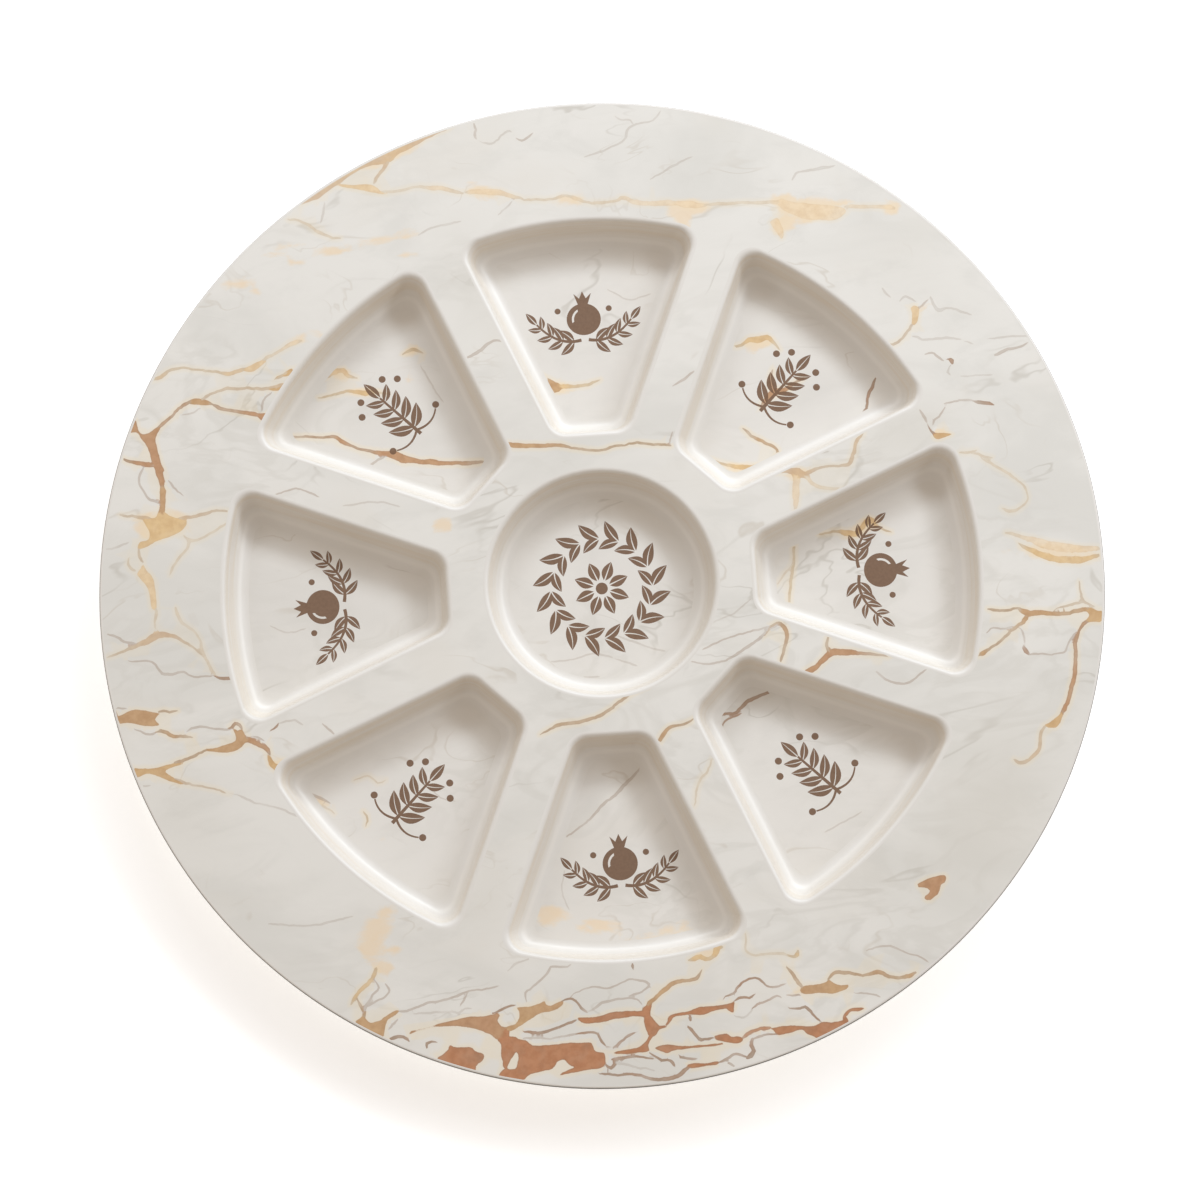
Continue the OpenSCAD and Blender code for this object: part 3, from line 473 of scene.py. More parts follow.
# filled outlines of the wider veins: kind, then x, y of each point
DECK_MASSES = [
    ("t", -81.7, -165, -81.1, -163.7, -76, -163.1, -70.9, -161.9, -64.6, -160.8, -60.8, -160.1, -55.7, -160.1, -50.7, -159.7, -49.1, -159.2, -48.2, -160.3, -49.1, -162, -47.8, -164.3, -46.1, -165.1, -46.6, -168.9, -49.5, -169, -51.9, -167.1, -55.1, -165.6, -58.9, -164.3, -63.3, -163.3, -68.4, -162.8, -73.5, -163.1, -78.5, -164),
    ("o", -41.8, -157.7, -38.5, -157.6, -36.7, -157.7, -33, -156.7, -31.3, -156.1, -30.7, -157.4, -29.2, -158, -26.6, -156.9, -24.7, -156.4, -24.5, -157.6, -26.6, -159.1, -29.8, -160, -33, -160.4, -35.5, -161.7, -38.6, -163.4, -41.8, -165, -44.8, -166.3, -47.1, -165.4, -45.2, -164.5, -42.4, -163.8, -41.2, -161.8, -41.2, -159.3),
    ("c", -48.6, -166.4, -46.1, -164.9, -44.8, -166.5, -45, -168.1, -42.8, -168.4, -41.8, -169.3, -39.3, -170, -37.4, -171.6, -35.5, -172.2, -30.4, -172.2, -24.1, -171.9, -20.3, -172.2, -15.2, -172.2, -14.3, -174.1, -13.6, -175.7, -10.8, -176.3, -10.2, -177.6, -10.5, -180.5, -12.1, -182, -16.4, -182.3, -20.9, -182.7, -24.1, -183.1, -27.4, -183.7, -26.4, -182.7, -24.1, -182, -21.9, -181.1, -23.7, -179.9, -25.4, -178.2, -27.9, -178.6, -29.8, -180.8, -35.5, -182, -39.3, -183.3, -41.6, -185.1, -49.3, -183.6, -49.1, -181.1, -47.5, -179.9, -48.1, -178.9, -48.1, -177.2, -48.7, -174.8, -48.4, -171, -49.5, -169),
    ("c", -67.1, -170, -64.6, -171, -59.6, -171, -57.7, -172.6, -54.8, -174.1, -54.8, -175.7, -56.3, -177.2, -58, -178.2, -58.9, -181.6, -65.9, -179.6, -72.4, -175.6, -70.3, -173.4, -67.8, -171.5),
    ("o", -99.8, -158, -98.5, -157.2, -97.5, -158, -95.9, -159.6, -92.4, -159.2, -90.6, -158, -87.3, -156.3, -85.3, -156, -86.1, -157.1, -89.3, -158.9, -90.3, -160.8, -90.9, -162.8, -91.8, -165.4, -96.9, -162.9, -101.8, -160),
    ("c", -19.3, -163.1, -17.8, -163.2, -12.7, -163.1, -7.6, -162, -2.6, -161.6, 2.5, -162, 6.5, -162.2, 6.5, -164.2, 1.2, -163.8, -5.1, -164.4, -10.2, -165.3, -17.2, -165),
    ("c", 4.6, -161.4, 6, -160, 7.5, -158.9, 8, -160.3, 7.4, -162.4, 7.4, -164.1, 8.5, -165.9, 10.4, -168.1, 12.7, -167.8, 13, -168.6, 10.4, -169.3, 8.9, -171.2, 7.5, -171.8, 6.2, -171.3, 5.3, -168.4, 5, -165.9, 5, -163.9),
    ("c", 6.6, -171, 7.7, -171.6, 6.6, -173.4, 5.9, -175, 6.2, -176.6, 5, -177.3, -0, -177.4, -4.1, -177.2, -7, -176.7, -2.6, -176, 2.5, -175, 4.8, -173.4, 5.9, -171.9),
    ("c", 30.3, -173.2, 32.3, -172.6, 34.8, -172.6, 36.6, -173.8, 39.9, -174.1, 40.7, -175, 39.6, -176, 36.6, -176.1, 34.2, -175.5, 31.6, -175, 30.5, -174.1),
    ("c", 50.6, -171.5, 52.6, -171.2, 55.7, -171, 60.7, -171.2, 67, -171.6, 70.2, -170.7, 74, -170.9, 77.8, -170.3, 78.5, -168.9, 79.6, -169.3, 80, -171.5, 76.9, -175, 70.8, -178.1, 67, -175.7, 64.6, -174.8, 62.6, -173, 58.8, -173.6, 55.7, -174.1, 53.4, -174.1, 52.1, -172.6),
    ("c", 8.2, -176, 11.3, -175.2, 15.1, -175.4, 18.3, -176.1, 22.7, -176, 30.3, -175.8, 33.4, -175.5, 33.4, -176.3, 30.3, -176.7, 20.8, -177, 15.1, -177.3, 12.6, -178, 11.3, -177.6, 9.1, -176.6),
    ("c", 14.1, -164.9, 16.4, -164, 20.8, -163.4, 25.3, -162.1, 30.3, -162.1, 36, -161.7, 37.8, -161, 38.7, -160.4, 38.4, -162.3, 37.9, -164.7, 36.2, -164.1, 35.4, -163.4, 30.3, -164, 26.5, -165, 22.1, -164.6, 16.4, -164.9, 14.9, -166.3, 12.9, -168.5, 12.5, -167.7, 13.5, -166.5),
    ("c", 19.7, -182.7, 22.7, -182.5, 26.5, -182.7, 30.9, -182.5, 32, -182.8, 27.8, -183.7, 24.1, -184.1, 21.4, -184.3, 19.8, -183.9),
    ("o", 63.3, -157.7, 66.4, -156.7, 70.2, -156.4, 72.8, -155.8, 74, -155, 75.6, -156.3, 78.4, -157.6, 80.9, -157.6, 80.1, -158.9, 77.8, -159.6, 74.7, -160.3, 70.2, -159.9, 65.8, -159.9, 63.6, -159.3),
    ("t", 109.5, -122.1, 111.0, -121.2, 113.3, -120.5, 115.6, -119.7, 117.8, -119.3, 119.8, -119.5, 120.3, -120.7, 119.6, -122.0, 118.3, -123.0, 117.9, -124.5, 116.9, -126.1, 115.3, -127.3, 113.7, -128.3, 112.6, -128.3, 111.7, -127.5, 112.0, -126.6, 113.2, -125.8, 113.8, -124.7, 113.0, -123.9, 111.2, -123.5, 109.8, -123.1),
    ("o", -189.4, -38.9, -183.8, -38.6, -178.3, -37.2, -172.2, -38.2, -168.9, -39.1, -170.6, -41.1, -169.1, -43.4, -174.2, -43.4, -180.3, -41.9, -189.4, -41.9),
    ("j", -184.3, -58.1, -178.8, -59.2, -172.2, -59.6, -167.1, -58.7, -162.1, -58.1, -161, -58.7, -166.1, -60, -167.5, -61.2, -165.1, -63.2, -162.1, -65, -160.6, -66, -162.1, -66.4, -166.1, -64.8, -170.2, -62.9, -174.2, -61.6, -177.3, -62.6, -182.3, -65.1),
    ("o", -141.4, -46.8, -139.8, -47.6, -138.2, -47.2, -136.7, -50, -135.2, -51.5, -137.1, -52.1, -139.8, -54.3, -143.3, -55.3, -147.9, -55.1, -151.9, -54.5, -151.9, -53.5, -147.9, -53.3, -142.8, -52.1, -140.6, -50.6),
    ("j", -129, -57.5, -128, -57.9, -127, -60, -125.4, -61.2, -122.6, -59.8, -123.2, -61.4, -125.4, -64, -127, -63.2, -128.6, -61),
    ("t", -178.3, 73.7, -173.8, 75.6, -172.2, 70.7, -170.4, 69.2, -167.5, 70.1, -164.5, 72.1, -163.9, 71.3, -165.5, 68.6, -166.1, 66, -165.1, 62, -164.3, 56.9, -163.3, 54.4, -165.6, 53.9, -167.3, 56.9, -168.1, 60.9, -169.5, 65, -171.4, 67.6, -173.2, 70.1, -178.3, 70.5),
    ("g", -171.8, 36.2, -167.5, 36.4, -165.7, 38.5, -163.5, 38.3, -162.1, 37, -159, 35.6, -155.6, 34.6, -156.6, 31.6, -160, 29.6, -165.1, 27.9, -168.1, 26.8, -170.8, 25.3, -173.2, 24.7, -174.4, 25.5, -173.2, 27.3, -170.2, 28.1, -169.8, 30.6, -171, 33.6),
    ("h", -173.8, 17, -172.6, 18.4, -171.2, 15.8, -169.5, 13.8, -168.5, 9.9, -168.3, 5.3, -168.3, 1.2, -170.2, 1.2, -170.6, 6.3, -171.6, 9.7, -173.6, 12.7, -175, 15),
    ("t", -127, 73.9, -125.2, 74.5, -122.4, 74.1, -123, 72.1, -124, 70.9, -125.4, 71.7),
    ("h", -131.7, 91.9, -129.2, 93.3, -126.2, 94.6, -123.6, 95.4, -122.6, 94.8, -125, 92.7, -127.6, 91.1, -130.1, 91.3),
    ("p", -107.4, 156.1, -97.2, 162.8, -91.2, 166.7, -85.1, 170.1, -77, 173.9, -68.9, 177.8, -60.8, 181.2, -52.7, 183.9, -45.6, 185.5, -46.6, 183.3, -52.7, 181, -58.8, 178, -62.8, 176, -67.9, 173.9, -69.9, 171.7, -73.9, 170.3, -79, 170.1, -85.1, 167.3, -90.1, 164.2, -96.2, 160.2, -99.3, 157.9, -101.3, 157.5),
    ("h", -92.2, 163.6, -87.1, 163, -80, 162.6, -77, 161.4, -75, 159.6, -72.7, 158.4, -75, 158.4, -79, 159.6, -84.1, 161, -89.1, 162.2),
    ("w", 77.5, 144, 79, 146, 83, 144.4, 89.1, 143.4, 95.2, 142.3, 100.2, 141.5, 103.3, 140.3, 103.3, 138.3, 98.2, 135.9, 93.1, 136.5, 87.1, 137.3, 83, 139.3, 80, 140.9),
    ("w", 73.9, 136.9, 76.9, 138.3, 78.6, 134.8, 79, 131.2, 77.9, 129.8, 76.3, 132.2, 74.9, 134.8),
    ("h", 125.3, 92.3, 125.5, 96.4, 125.1, 99, 126.6, 100, 128.4, 98.8, 128.2, 96, 127, 93.1),
    ("j", 129.6, 49.2, 131.6, 49.2, 134.6, 48.8, 136.7, 48.4, 134.6, 47.6, 131.6, 46.7, 130, 47.2),
    ("j", 180.6, -22.3, 183.3, -22.3, 186.3, -23.7, 192.4, -24.1, 192.4, -28.6, 185.3, -28, 182.6, -27.8, 180.8, -27.2, 182.2, -24.9),
    ("j", 169.5, -60.2, 167.5, -62.2, 165.6, -63.6, 163.4, -65, 161.6, -65.7, 163.4, -66.7, 166, -66.7, 167.7, -65.2, 168.7, -63.2),
    ("j", -122.8, 83.9, -119.8, 84.5, -117.7, 85.0, -116.0, 85.1, -115.9, 84.2, -116.8, 83.2, -118.5, 82.7, -121.0, 83.1),
    ("j", -118.6, 88.3, -116.1, 89.5, -114.0, 90.9, -112.7, 91.2, -112.2, 90.4, -112.8, 89.2, -114.1, 88.4, -116.2, 88.2),
]
# bare spots in them
DECK_BARE = [
    (-42.8, -174.1, -42.2, -176, -42.8, -178.6, -43.7, -180.2, -46.2, -179.9, -46.2, -178.6, -44.4, -176),
]

# soft peach patches: x, y, half-length, half-height, angle in degrees, strength
DECK_PATCHES = [
    (-92, -126, 8, 5, 40, 0.8), (-88, -118.6, 4, 2.4, 20, 0.7), (-95, -134, 4, 3, 60, 0.8), (-86, -134, 4, 2.6, 0, 0.8),
    (-90, -139.6, 4.4, 2.6, -20, 0.95), (-133, 126.4, 8, 2.6, 10, 0.75), (-125, 122, 4, 2.2, -20, 0.7),
    (-113, 139.4, 8, 2.6, 12, 0.75), (-109.6, 134, 4, 2.2, 0, 0.7), (-104, 104, 8, 2.2, 14, 0.75), (-94, 136.4, 9, 1.8, 4, 0.7),
    (-80, 139, 7, 1.8, 6, 0.7), (-66.6, 141.6, 5, 2.2, 10, 0.7), (-66, 133, 5, 1.8, 0, 0.6), (-36, 156.6, 8, 2.6, -4, 0.8),
    (-2, 150.4, 6, 2.6, -4, 0.8), (43, 145.4, 9, 3, -3, 0.9), (90, 140.4, 13, 4.4, -4, 1.0), (78, 135, 4.4, 3.4, 60, 0.95),
    (81, 144.6, 5, 2.8, 0, 0.9), (101, 143, 5, 2, 0, 0.8), (121.6, 138.6, 5, 2.8, -10, 0.8), (-58.4, 26.4, 2.6, 2.4, 0, 1.0),
    (133, -129, 1.6, 1.2, 0, 0.8), (-166, 33, 10, 4.6, 0, 0.9), (172, 0.6, 17, 3.4, -8, 0.8), (28.6, -143, 6, 1.8, 10, 0.8),
    (40, 138, 7, 1.6, -4, 0.6), (-72, 172.4, 12, 2.6, 24, 0.8), (130, 98.6, 4.6, 2, 20, 0.7), (132, 49, 4, 2, 0, 0.7),
    (77, 37, 5, 3, 20, 0.8), (-126, -61.2, 4, 2, 0, 0.7), (60, -158, 9, 2.2, 6, 0.5), (-37, -158.6, 6, 2.4, 0, 0.6),
    # greyer clouds
    (140, -95, 34, 20, 55, -0.95), (120, 50, 17, 9, 24, -0.75), (-160, -78, 22, 14, -60, -0.5), (-40, 120, 9, 20, 20, -0.5),
    (124, 118, 26, 16, -45, -0.35), (-50, -115, 9, 18, -24, -0.5),
]

FLOOR_VEINS = {
    1: [("g", 74.5, 13, 1, 74, 8, 1, 73, 3, 1, 72, -3, 1, 71, -8, 0.9, 70.4, -14, 0.8), ("s", 74, 6, 0.7, 70, 1, 0.7, 66, -3.6, 0.6),
        ("g", 84, 15.4, 0.6, 91, 16.3, 1, 94, 15.2, 2.2, 98, 15, 2, 101, 17.4, 2.3, 104, 19.8, 3.6, 105.6, 17.8, 1.8, 108, 16, 0.9, 112, 14.4, 0.6)],
    2: [("g", 55.6, 91.6, 0.9, 60, 92, 1.2, 63, 93.8, 1.9, 66, 93.6, 3, 70, 94.4, 1.9, 73, 91.6, 1.1, 75, 88.6, 0.7),
        ("t", 65.6, 66.6, 0.9, 68.4, 70, 2, 71, 72.4, 3.2, 75, 73, 2, 79, 75, 1.2, 83, 77.6, 0.7), ("t", 71, 72.6, 1.7, 70.2, 77, 1.4, 71.4, 81.4, 0.8),
        ("k", 110.4, 75.4, 1, 109, 72, 1.4, 107, 68.5, 1.2, 106, 64, 1.1, 104, 61, 1.1), ("o", 58, 59, 0.8, 61, 56, 1, 64, 54.4, 1.6, 67, 52.5, 1.3, 70, 50.5, 1.3, 71.2, 46.6, 1.1),
        ("g", 42.6, 48.2, 0.6, 47, 46.5, 0.9, 52, 44.6, 1.3, 57, 43.6, 2.4, 61, 43.2, 2, 65, 44.6, 1.3, 71, 46.6, 0.9)],
    3: [("o", -18.4, 86, 0.7, -15.5, 83, 1.2, -13.4, 81.2, 2.8, -12, 79.8, 3.2, -14, 78.2, 1.2), ("g", -11.6, 80.3, 2, -5, 80, 1.3, 0, 80.3, 1.1, 5, 82, 0.7),
        ("y", 10, 118, 0.5, 18, 113, 0.6, 27, 115, 0.5)],
    4: [("t", -116, 67.6, 1, -108, 67, 1.1, -103, 66.3, 1.1, -99, 66.4, 1.3, -96, 64.6, 1.9, -92, 62, 1.1, -88, 60.5, 1, -85, 59.5, 1.1, -80, 58.5, 2, -76, 57.7, 2.8, -72, 55.6, 2.8, -69, 54.9, 2.2, -62, 53.8, 2, -55, 53, 1.7, -48, 52.5, 1.4, -41.4, 52.5, 1.1),
        ("h", -101, 89.6, 0.7, -97, 92, 2.2, -94, 92.4, 2.2, -92, 90, 1.5, -88.4, 88.8, 0.8), ("g", -104, 82, 0.7, -98, 83, 0.9, -92, 84, 1.4, -86, 82.6, 1.9, -82, 83, 1.1, -77, 81.8, 0.7),
        ("b", -107, 60.4, 0.6, -98, 56, 0.9, -92, 53.6, 1, -88, 53, 1, -84, 55, 1, -79.4, 57.2, 0.9), ("g", -70.6, 97, 0.7, -66.4, 98.8, 1.2, -62.6, 97, 0.7), ("y", -64, 92, 0.5, -60, 84, 0.6, -56, 77, 0.5)],
    5: [("y", -127, -6, 0.5, -121, -9, 0.6, -113, -8, 0.5)],
    6: [("b", -115.4, -71, 0.8, -111, -73.4, 1.4, -107.4, -75.6, 0.8), ("s", -113.4, -75, 0.9, -109.6, -76.6, 1, -106, -79.6, 0.6), ("s", -98, -67.4, 0.5, -93, -66, 0.7, -89, -69, 0.7, -85.6, -68, 0.5),
        ("g", -94.6, -85, 0.6, -94, -82, 0.9, -95.4, -79, 0.6), ("y", -72, -70, 0.5, -66, -76, 0.6, -60, -78, 0.5)],
    7: [("b", 11, -68.6, 0.8, 7, -73, 1.1, 3, -76.5, 1.4, 0, -79.4, 1.2, -5, -83, 1, -10, -88, 0.8, -16, -92, 0.7, -22, -95.4, 0.6),
        ("y", -21, -107, 0.6, -22.4, -115, 0.6, -20, -122, 0.6)],
    8: [("k", 40, -53, 0.9, 43, -51.6, 1.1, 47, -51.4, 1.1, 49.5, -49.5, 1.3, 53, -47, 1.5, 57, -45.4, 1.3, 62, -43.6, 1.1), ("k", 41.4, -58, 0.6, 43, -54.4, 0.7, 50, -51.4, 0.7),
        ("y", 92, -92, 0.5, 84, -96, 0.6, 77, -99, 0.5)],
    9: [("y", -21, -27, 0.5, -12, -26.5, 0.6, -5, -25, 0.8, -2, -25.3, 0.7, 3, -27.2, 0.5), ("y", 5, -19, 0.6, 13, -22.5, 0.7, 23, -26.2, 0.6),
        ("y", 4, -27.8, 0.6, 11.6, -30.6, 0.7), ("y", -10, -33.8, 0.6, -3, -34.2, 0.6)],
}
FLOOR_PATCHES = {
    1: [(101, 17, 8, 3, 24, 0.8)], 2: [(66, 93, 6, 2.4, 0, 0.8), (57, 43.8, 6, 1.8, -6, 0.8)], 3: [(-12, 80, 5, 2.6, -10, 0.8)],
    4: [(-95, 91.4, 5, 2.6, 20, 0.8), (-86, 83, 7, 2, -4, 0.7), (-67, 98.4, 4, 2.2, 20, 0.75), (-68, 88, 3, 3, 0, 0.7)],
    5: [], 6: [(-111, -74.6, 5, 2, -30, 0.7), (-87, -88, 5, 3, 20, 0.5)],
    7: [(-28, -124, 5.6, 4, 10, 0.8), (-11, -128.6, 8, 2.6, -4, 0.9), (12, -132.4, 13, 2.2, 6, 0.85)], 8: [], 9: [],
}


def vein_path(spec, step):
    """Points, widths and the hue and strength of a vein: a smooth curve through its points, made a little crooked."""
    hue, strength = KINDS[spec[0]]
    a = np.array(spec[1:], float).reshape(-1, 3)
    p = a[:, :2]
    ends = [2 * p[0] - p[1], *p, 2 * p[-1] - p[-2]]
    out, wid = [], []
    for i in range(len(p) - 1):
        p0, p1, p2, p3 = ends[i:i + 4]
        n = max(1, int(round(np.linalg.norm(p2 - p1) / step)))
        for t in np.arange(n) / n:
            out.append(0.5 * (2 * p1 + (p2 - p0) * t + (2 * p0 - 5 * p1 + 4 * p2 - p3) * t * t
                              + (3 * p1 - p0 - 3 * p2 + p3) * t ** 3))
            wid.append(a[i, 2] * (1 - t) + a[i + 1, 2] * t)
    out.append(p[-1])
    wid.append(a[-1, 2])
    out, wid = np.array(out), np.array(wid)
    bent = out.copy()
    for i, (x, y) in enumerate(out):
        jx = noise.noise(Vector((x * 0.21, y * 0.21, 1.7))) * 0.40 + noise.noise(Vector((x * 0.62, y * 0.62, 4.1))) * 0.30
        jy = noise.noise(Vector((x * 0.21, y * 0.21, 7.3))) * 0.40 + noise.noise(Vector((x * 0.62, y * 0.62, 9.9))) * 0.30
        bent[i] += (jx, jy)
    return bent, wid, hue, strength


def mass_path(xy, step):
    """A smooth closed outline through the points of a wider vein."""
    p = np.array(xy, float).reshape(-1, 2)
    out = []
    for i in range(len(p)):
        p0, p1, p2, p3 = (p[(i + k) % len(p)] for k in (-1, 0, 1, 2))
        n = max(1, int(round(np.linalg.norm(p2 - p1) / step)))
        for t in np.arange(n) / n:
            out.append(0.5 * (2 * p1 + (p2 - p0) * t + (2 * p0 - 5 * p1 + 4 * p2 - p3) * t * t
                              + (3 * p1 - p0 - 3 * p2 + p3) * t ** 3))
    return np.array(out)


def outline_gap(q, shape):
    """Distance of points from a closed outline, negative inside it."""
    a, b = shape, np.roll(shape, -1, 0)
    ab = b - a
    t = ((q[:, None] - a) * ab).sum(2) / np.maximum((ab * ab).sum(1), 1e-12)
    near = a + np.clip(t, 0, 1)[..., None] * ab
    d = np.linalg.norm(q[:, None] - near, axis=2).min(1)
    return np.where(inside(q, shape), -d, d)


def print_mesh(name, outer, holes, z, veins, patches, inks, spin, cell, step, uv, masses=()):
    """A closed foil with the vein lines, and the edges of its printed ornament, in its mesh. outer, holes and inks are in the foil's own frame, turned by spin eighths."""
    a = math.radians(-45 * spin)
    c, s = math.cos(a), math.sin(a)

    def local(q):
        q = np.asarray(q, float)
        return np.stack([q[:, 0] * c - q[:, 1] * s, q[:, 0] * s + q[:, 1] * c], 1)

    pts, edges = [], []

    def within(q):
        k = inside(q, outer)
        for h in holes:
            k &= ~inside(q, h)
        return k

    def loop(q):
        b = len(pts)
        pts.extend(map(tuple, q))
        edges.extend((b + i, b + (i + 1) % len(q)) for i in range(len(q)))

    loop(outer)
    for h in holes:
        loop(h)
    rim_tree = KDTree(sum(len(h) * 6 for h in [outer] + holes))
    for h in [outer] + holes:
        nxt = np.roll(h, -1, 0)
        for t in np.arange(6) / 6:
            for x, y in h * (1 - t) + nxt * t:
                rim_tree.insert((x, y, 0), 0)
    rim_tree.balance()

    def clear(q, gap):
        """Which points keep that far from the foil's edges."""
        return np.array([rim_tree.find((x, y, 0))[2] > gap for x, y in q])

    for q in inks:
        loop(q)
    paths = []
    for spec in veins:
        q, w, hue, strength = vein_path(spec, step)
        q = local(q)
        paths.append((q, w, hue, strength))
        keep = within(q) & clear(q, 0.35)
        idx = {}
        for i in np.flatnonzero(keep):
            idx[i] = len(pts)
            pts.append(tuple(q[i]))
        edges.extend((idx[i], idx[i + 1]) for i in idx if i + 1 in idx)
        t = np.gradient(q, axis=0)
        t /= np.maximum(np.linalg.norm(t, axis=1), 1e-9)[:, None]
        nrm = np.stack([-t[:, 1], t[:, 0]], 1)
        for off in (0.5, 1.0):
            for sign in (1, -1):
                side = q + nrm * (sign * (w * 0.5 * off + (0.9 if off == 1.0 else 0.12)))[:, None]
                ok = within(side) & clear(side, 0.35)
                pts.extend(map(tuple, side[::2 if off == 1.0 else 1][ok[::2 if off == 1.0 else 1]]))
    blots = [(kind, local(mass_path(xy, 0.8))) for kind, xy in masses]
    for _, q in blots:
        t = np.roll(q, -1, 0) - np.roll(q, 1, 0)
        t /= np.maximum(np.linalg.norm(t, axis=1), 1e-9)[:, None]
        nrm = np.stack([-t[:, 1], t[:, 0]], 1)
        keep = within(q) & clear(q, 0.35)
        idx = {}
        for i in np.flatnonzero(keep):
            idx[i] = len(pts)
            pts.append(tuple(q[i]))
        edges.extend((idx[i], idx[(i + 1) % len(q)]) for i in idx if (i + 1) % len(q) in idx)
        for off in (-0.55, 0.55):
            side = q + nrm * off
            ok = within(side) & clear(side, 0.35)
            pts.extend(map(tuple, side[ok]))
    lo, hi = outer.min(0), outer.max(0)
    gx = np.arange(lo[0], hi[0], cell)
    gy = np.arange(lo[1], hi[1], cell * 0.866)
    grid = np.array([(x + (cell / 2 if j % 2 else 0), y) for j, y in enumerate(gy) for x in gx])
    grid = grid[within(grid)]
    grid = grid[clear(grid, 0.8)]
    have = KDTree(len(pts))
    for i, p in enumerate(pts):
        have.insert((p[0], p[1], 0), i)
    have.balance()
    grid = [tuple(p) for p in grid if have.find((p[0], p[1], 0))[2] > cell * 0.55]
    pts.extend(grid)
    co, _, tri, _, _, _ = delaunay_2d_cdt([Vector((float(x), float(y))) for x, y in pts], edges, [], 0, 1e-4)
    co = np.array([tuple(v) for v in co])
    tri = np.array([t for t in tri if len(t) == 3])
    mid = co[tri].mean(1)
    keep = within(mid) & ~slivers(co, tri)
    tri, mid = tri[keep], mid[keep]
    e1, e2 = co[tri[:, 1]] - co[tri[:, 0]], co[tri[:, 2]] - co[tri[:, 0]]
    area = e1[:, 0] * e2[:, 1] - e1[:, 1] * e2[:, 0]
    tri[area < 0] = tri[area < 0][:, ::-1]
    used = np.unique(tri)
    back = np.full(len(co), -1)
    back[used] = np.arange(len(used))
    co, tri = co[used], back[tri]

    # nearest vein at each point
    segs, hw, hues, strengths = [], [], [], []
    for q, w, h, st in paths:
        for i in range(len(q) - 1):
            for t in (0.0, 0.25, 0.5, 0.75):
                segs.append(q[i] * (1 - t) + q[i + 1] * t)
                taper = min(1.0, 0.55 + 0.25 * min(i + t, len(q) - 1 - i - t))
                hw.append((w[i] * (1 - t) + w[i + 1] * t) * 0.5 * taper)
                hues.append(h)
                strengths.append(st)
    n = len(co)
    vd, vw = np.full(n, 9.0), np.full(n, 0.3)
    vh, vs = np.full(n, 0.5), np.zeros(n)
    if segs:
        tree = KDTree(len(segs))
        for i, p in enumerate(segs):
            tree.insert((p[0], p[1], 0), i)
        tree.balance()
        for k in range(n):
            best = None
            for p, i, d in tree.find_range((co[k, 0], co[k, 1], 0), 9.0):
                m = d - hw[i]
                if best is None or m < best[0]:
                    best = (m, d, i)
            if best is not None:
                _, vd[k], i = best
                vw[k], vh[k], vs[k] = hw[i], hues[i], strengths[i]
    gap = vd - vw
    for kind, q in blots:
        near = np.flatnonzero(((co > q.min(0) - 9.0) & (co < q.max(0) + 9.0)).all(1))
        if not len(near):
            continue
        m = outline_gap(co[near], q)
        if kind == "bare":
            cut = -m > gap[near]
            hit = near[cut]
            gap[hit] = -m[cut]
            vd[hit] = vw[hit] + gap[hit]
        else:
            cut = m < gap[near]
            hit = near[cut]
            gap[hit] = m[cut]
            vw[hit] = 1.0
            vd[hit] = np.maximum(0.0, 1.0 + m[cut])
            vh[hit], vs[hit] = KINDS[kind]
    world = np.stack([co[:, 0] * c + co[:, 1] * s, -co[:, 0] * s + co[:, 1] * c], 1)
    pf = np.zeros(n)
    for x, y, rx, ry, ang, st in patches:
        g = math.radians(ang)
        dx, dy = world[:, 0] - x, world[:, 1] - y
        u = (dx * math.cos(g) + dy * math.sin(g)) / rx
        v = (-dx * math.sin(g) + dy * math.cos(g)) / ry
        bump = st * np.exp(-(u * u + v * v) * 0.75)
        pf = np.where(np.abs(bump) > np.abs(pf), bump, pf)
    ink = np.zeros(len(tri))
    for q in inks:
        ink[inside(mid, q)] = 1.0

    # close the foil: the printed face, its edges and its underside
    bottom_z = z - FOIL_T
    top = np.column_stack([world, np.full(n, z)])
    verts = [top]
    faces = [tuple(t) for t in tri]
    uvs = [[tuple(uv(co[i], 0)) for i in t] for t in tri]
    kinds = list(ink)
    spot = KDTree(n)
    for i, p in enumerate(co):
        spot.insert((p[0], p[1], 0), i)
    spot.balance()
    base = n
    strips = 0
    for lp, is_hole in [(outer, False)] + [(h, True) for h in holes]:
        ids = [spot.find((p[0], p[1], 0))[1] for p in lp]
        m = len(ids)
        low = np.column_stack([world[ids], np.full(m, bottom_z)])
        verts.append(low)
        for i in range(m):
            k = (i + 1) % m
            f = (ids[i], base + i, base + k, ids[k])
            if is_hole:
                f = f[::-1]
            q = [(i / m, strips + 0.8), (i / m, strips + 0.2), ((i + 1) / m, strips + 0.2), ((i + 1) / m, strips + 0.8)]
            if is_hole:
                q = q[::-1]
            faces.append(f)
            uvs.append([tuple(uv(r, 2)) for r in q])
            kinds.append(0.0)
        base += m
        strips += 1
    loops = [outer] + holes
    bp, be = [], []
    for lp in loops:
        b = len(bp)
        bp.extend(Vector((float(x), float(y))) for x, y in lp)
        be.extend((b + i, b + (i + 1) % len(lp)) for i in range(len(lp)))
    bco, _, btri, _, _, _ = delaunay_2d_cdt(bp, be, [], 0, 1e-6)
    bco = np.array([tuple(v) for v in bco])
    bmid = np.array([bco[list(t)].mean(0) for t in btri])
    ok = within(bmid) & ~slivers(bco, np.array(btri))
    first = n
    for t, k in zip(btri, ok):
        if k:
            a0, b0, c0 = (bco[i] for i in t)
            t = tuple(t)
            if (b0[0] - a0[0]) * (c0[1] - a0[1]) - (b0[1] - a0[1]) * (c0[0] - a0[0]) > 0:
                t = t[::-1]
            faces.append(tuple(first + i for i in t))
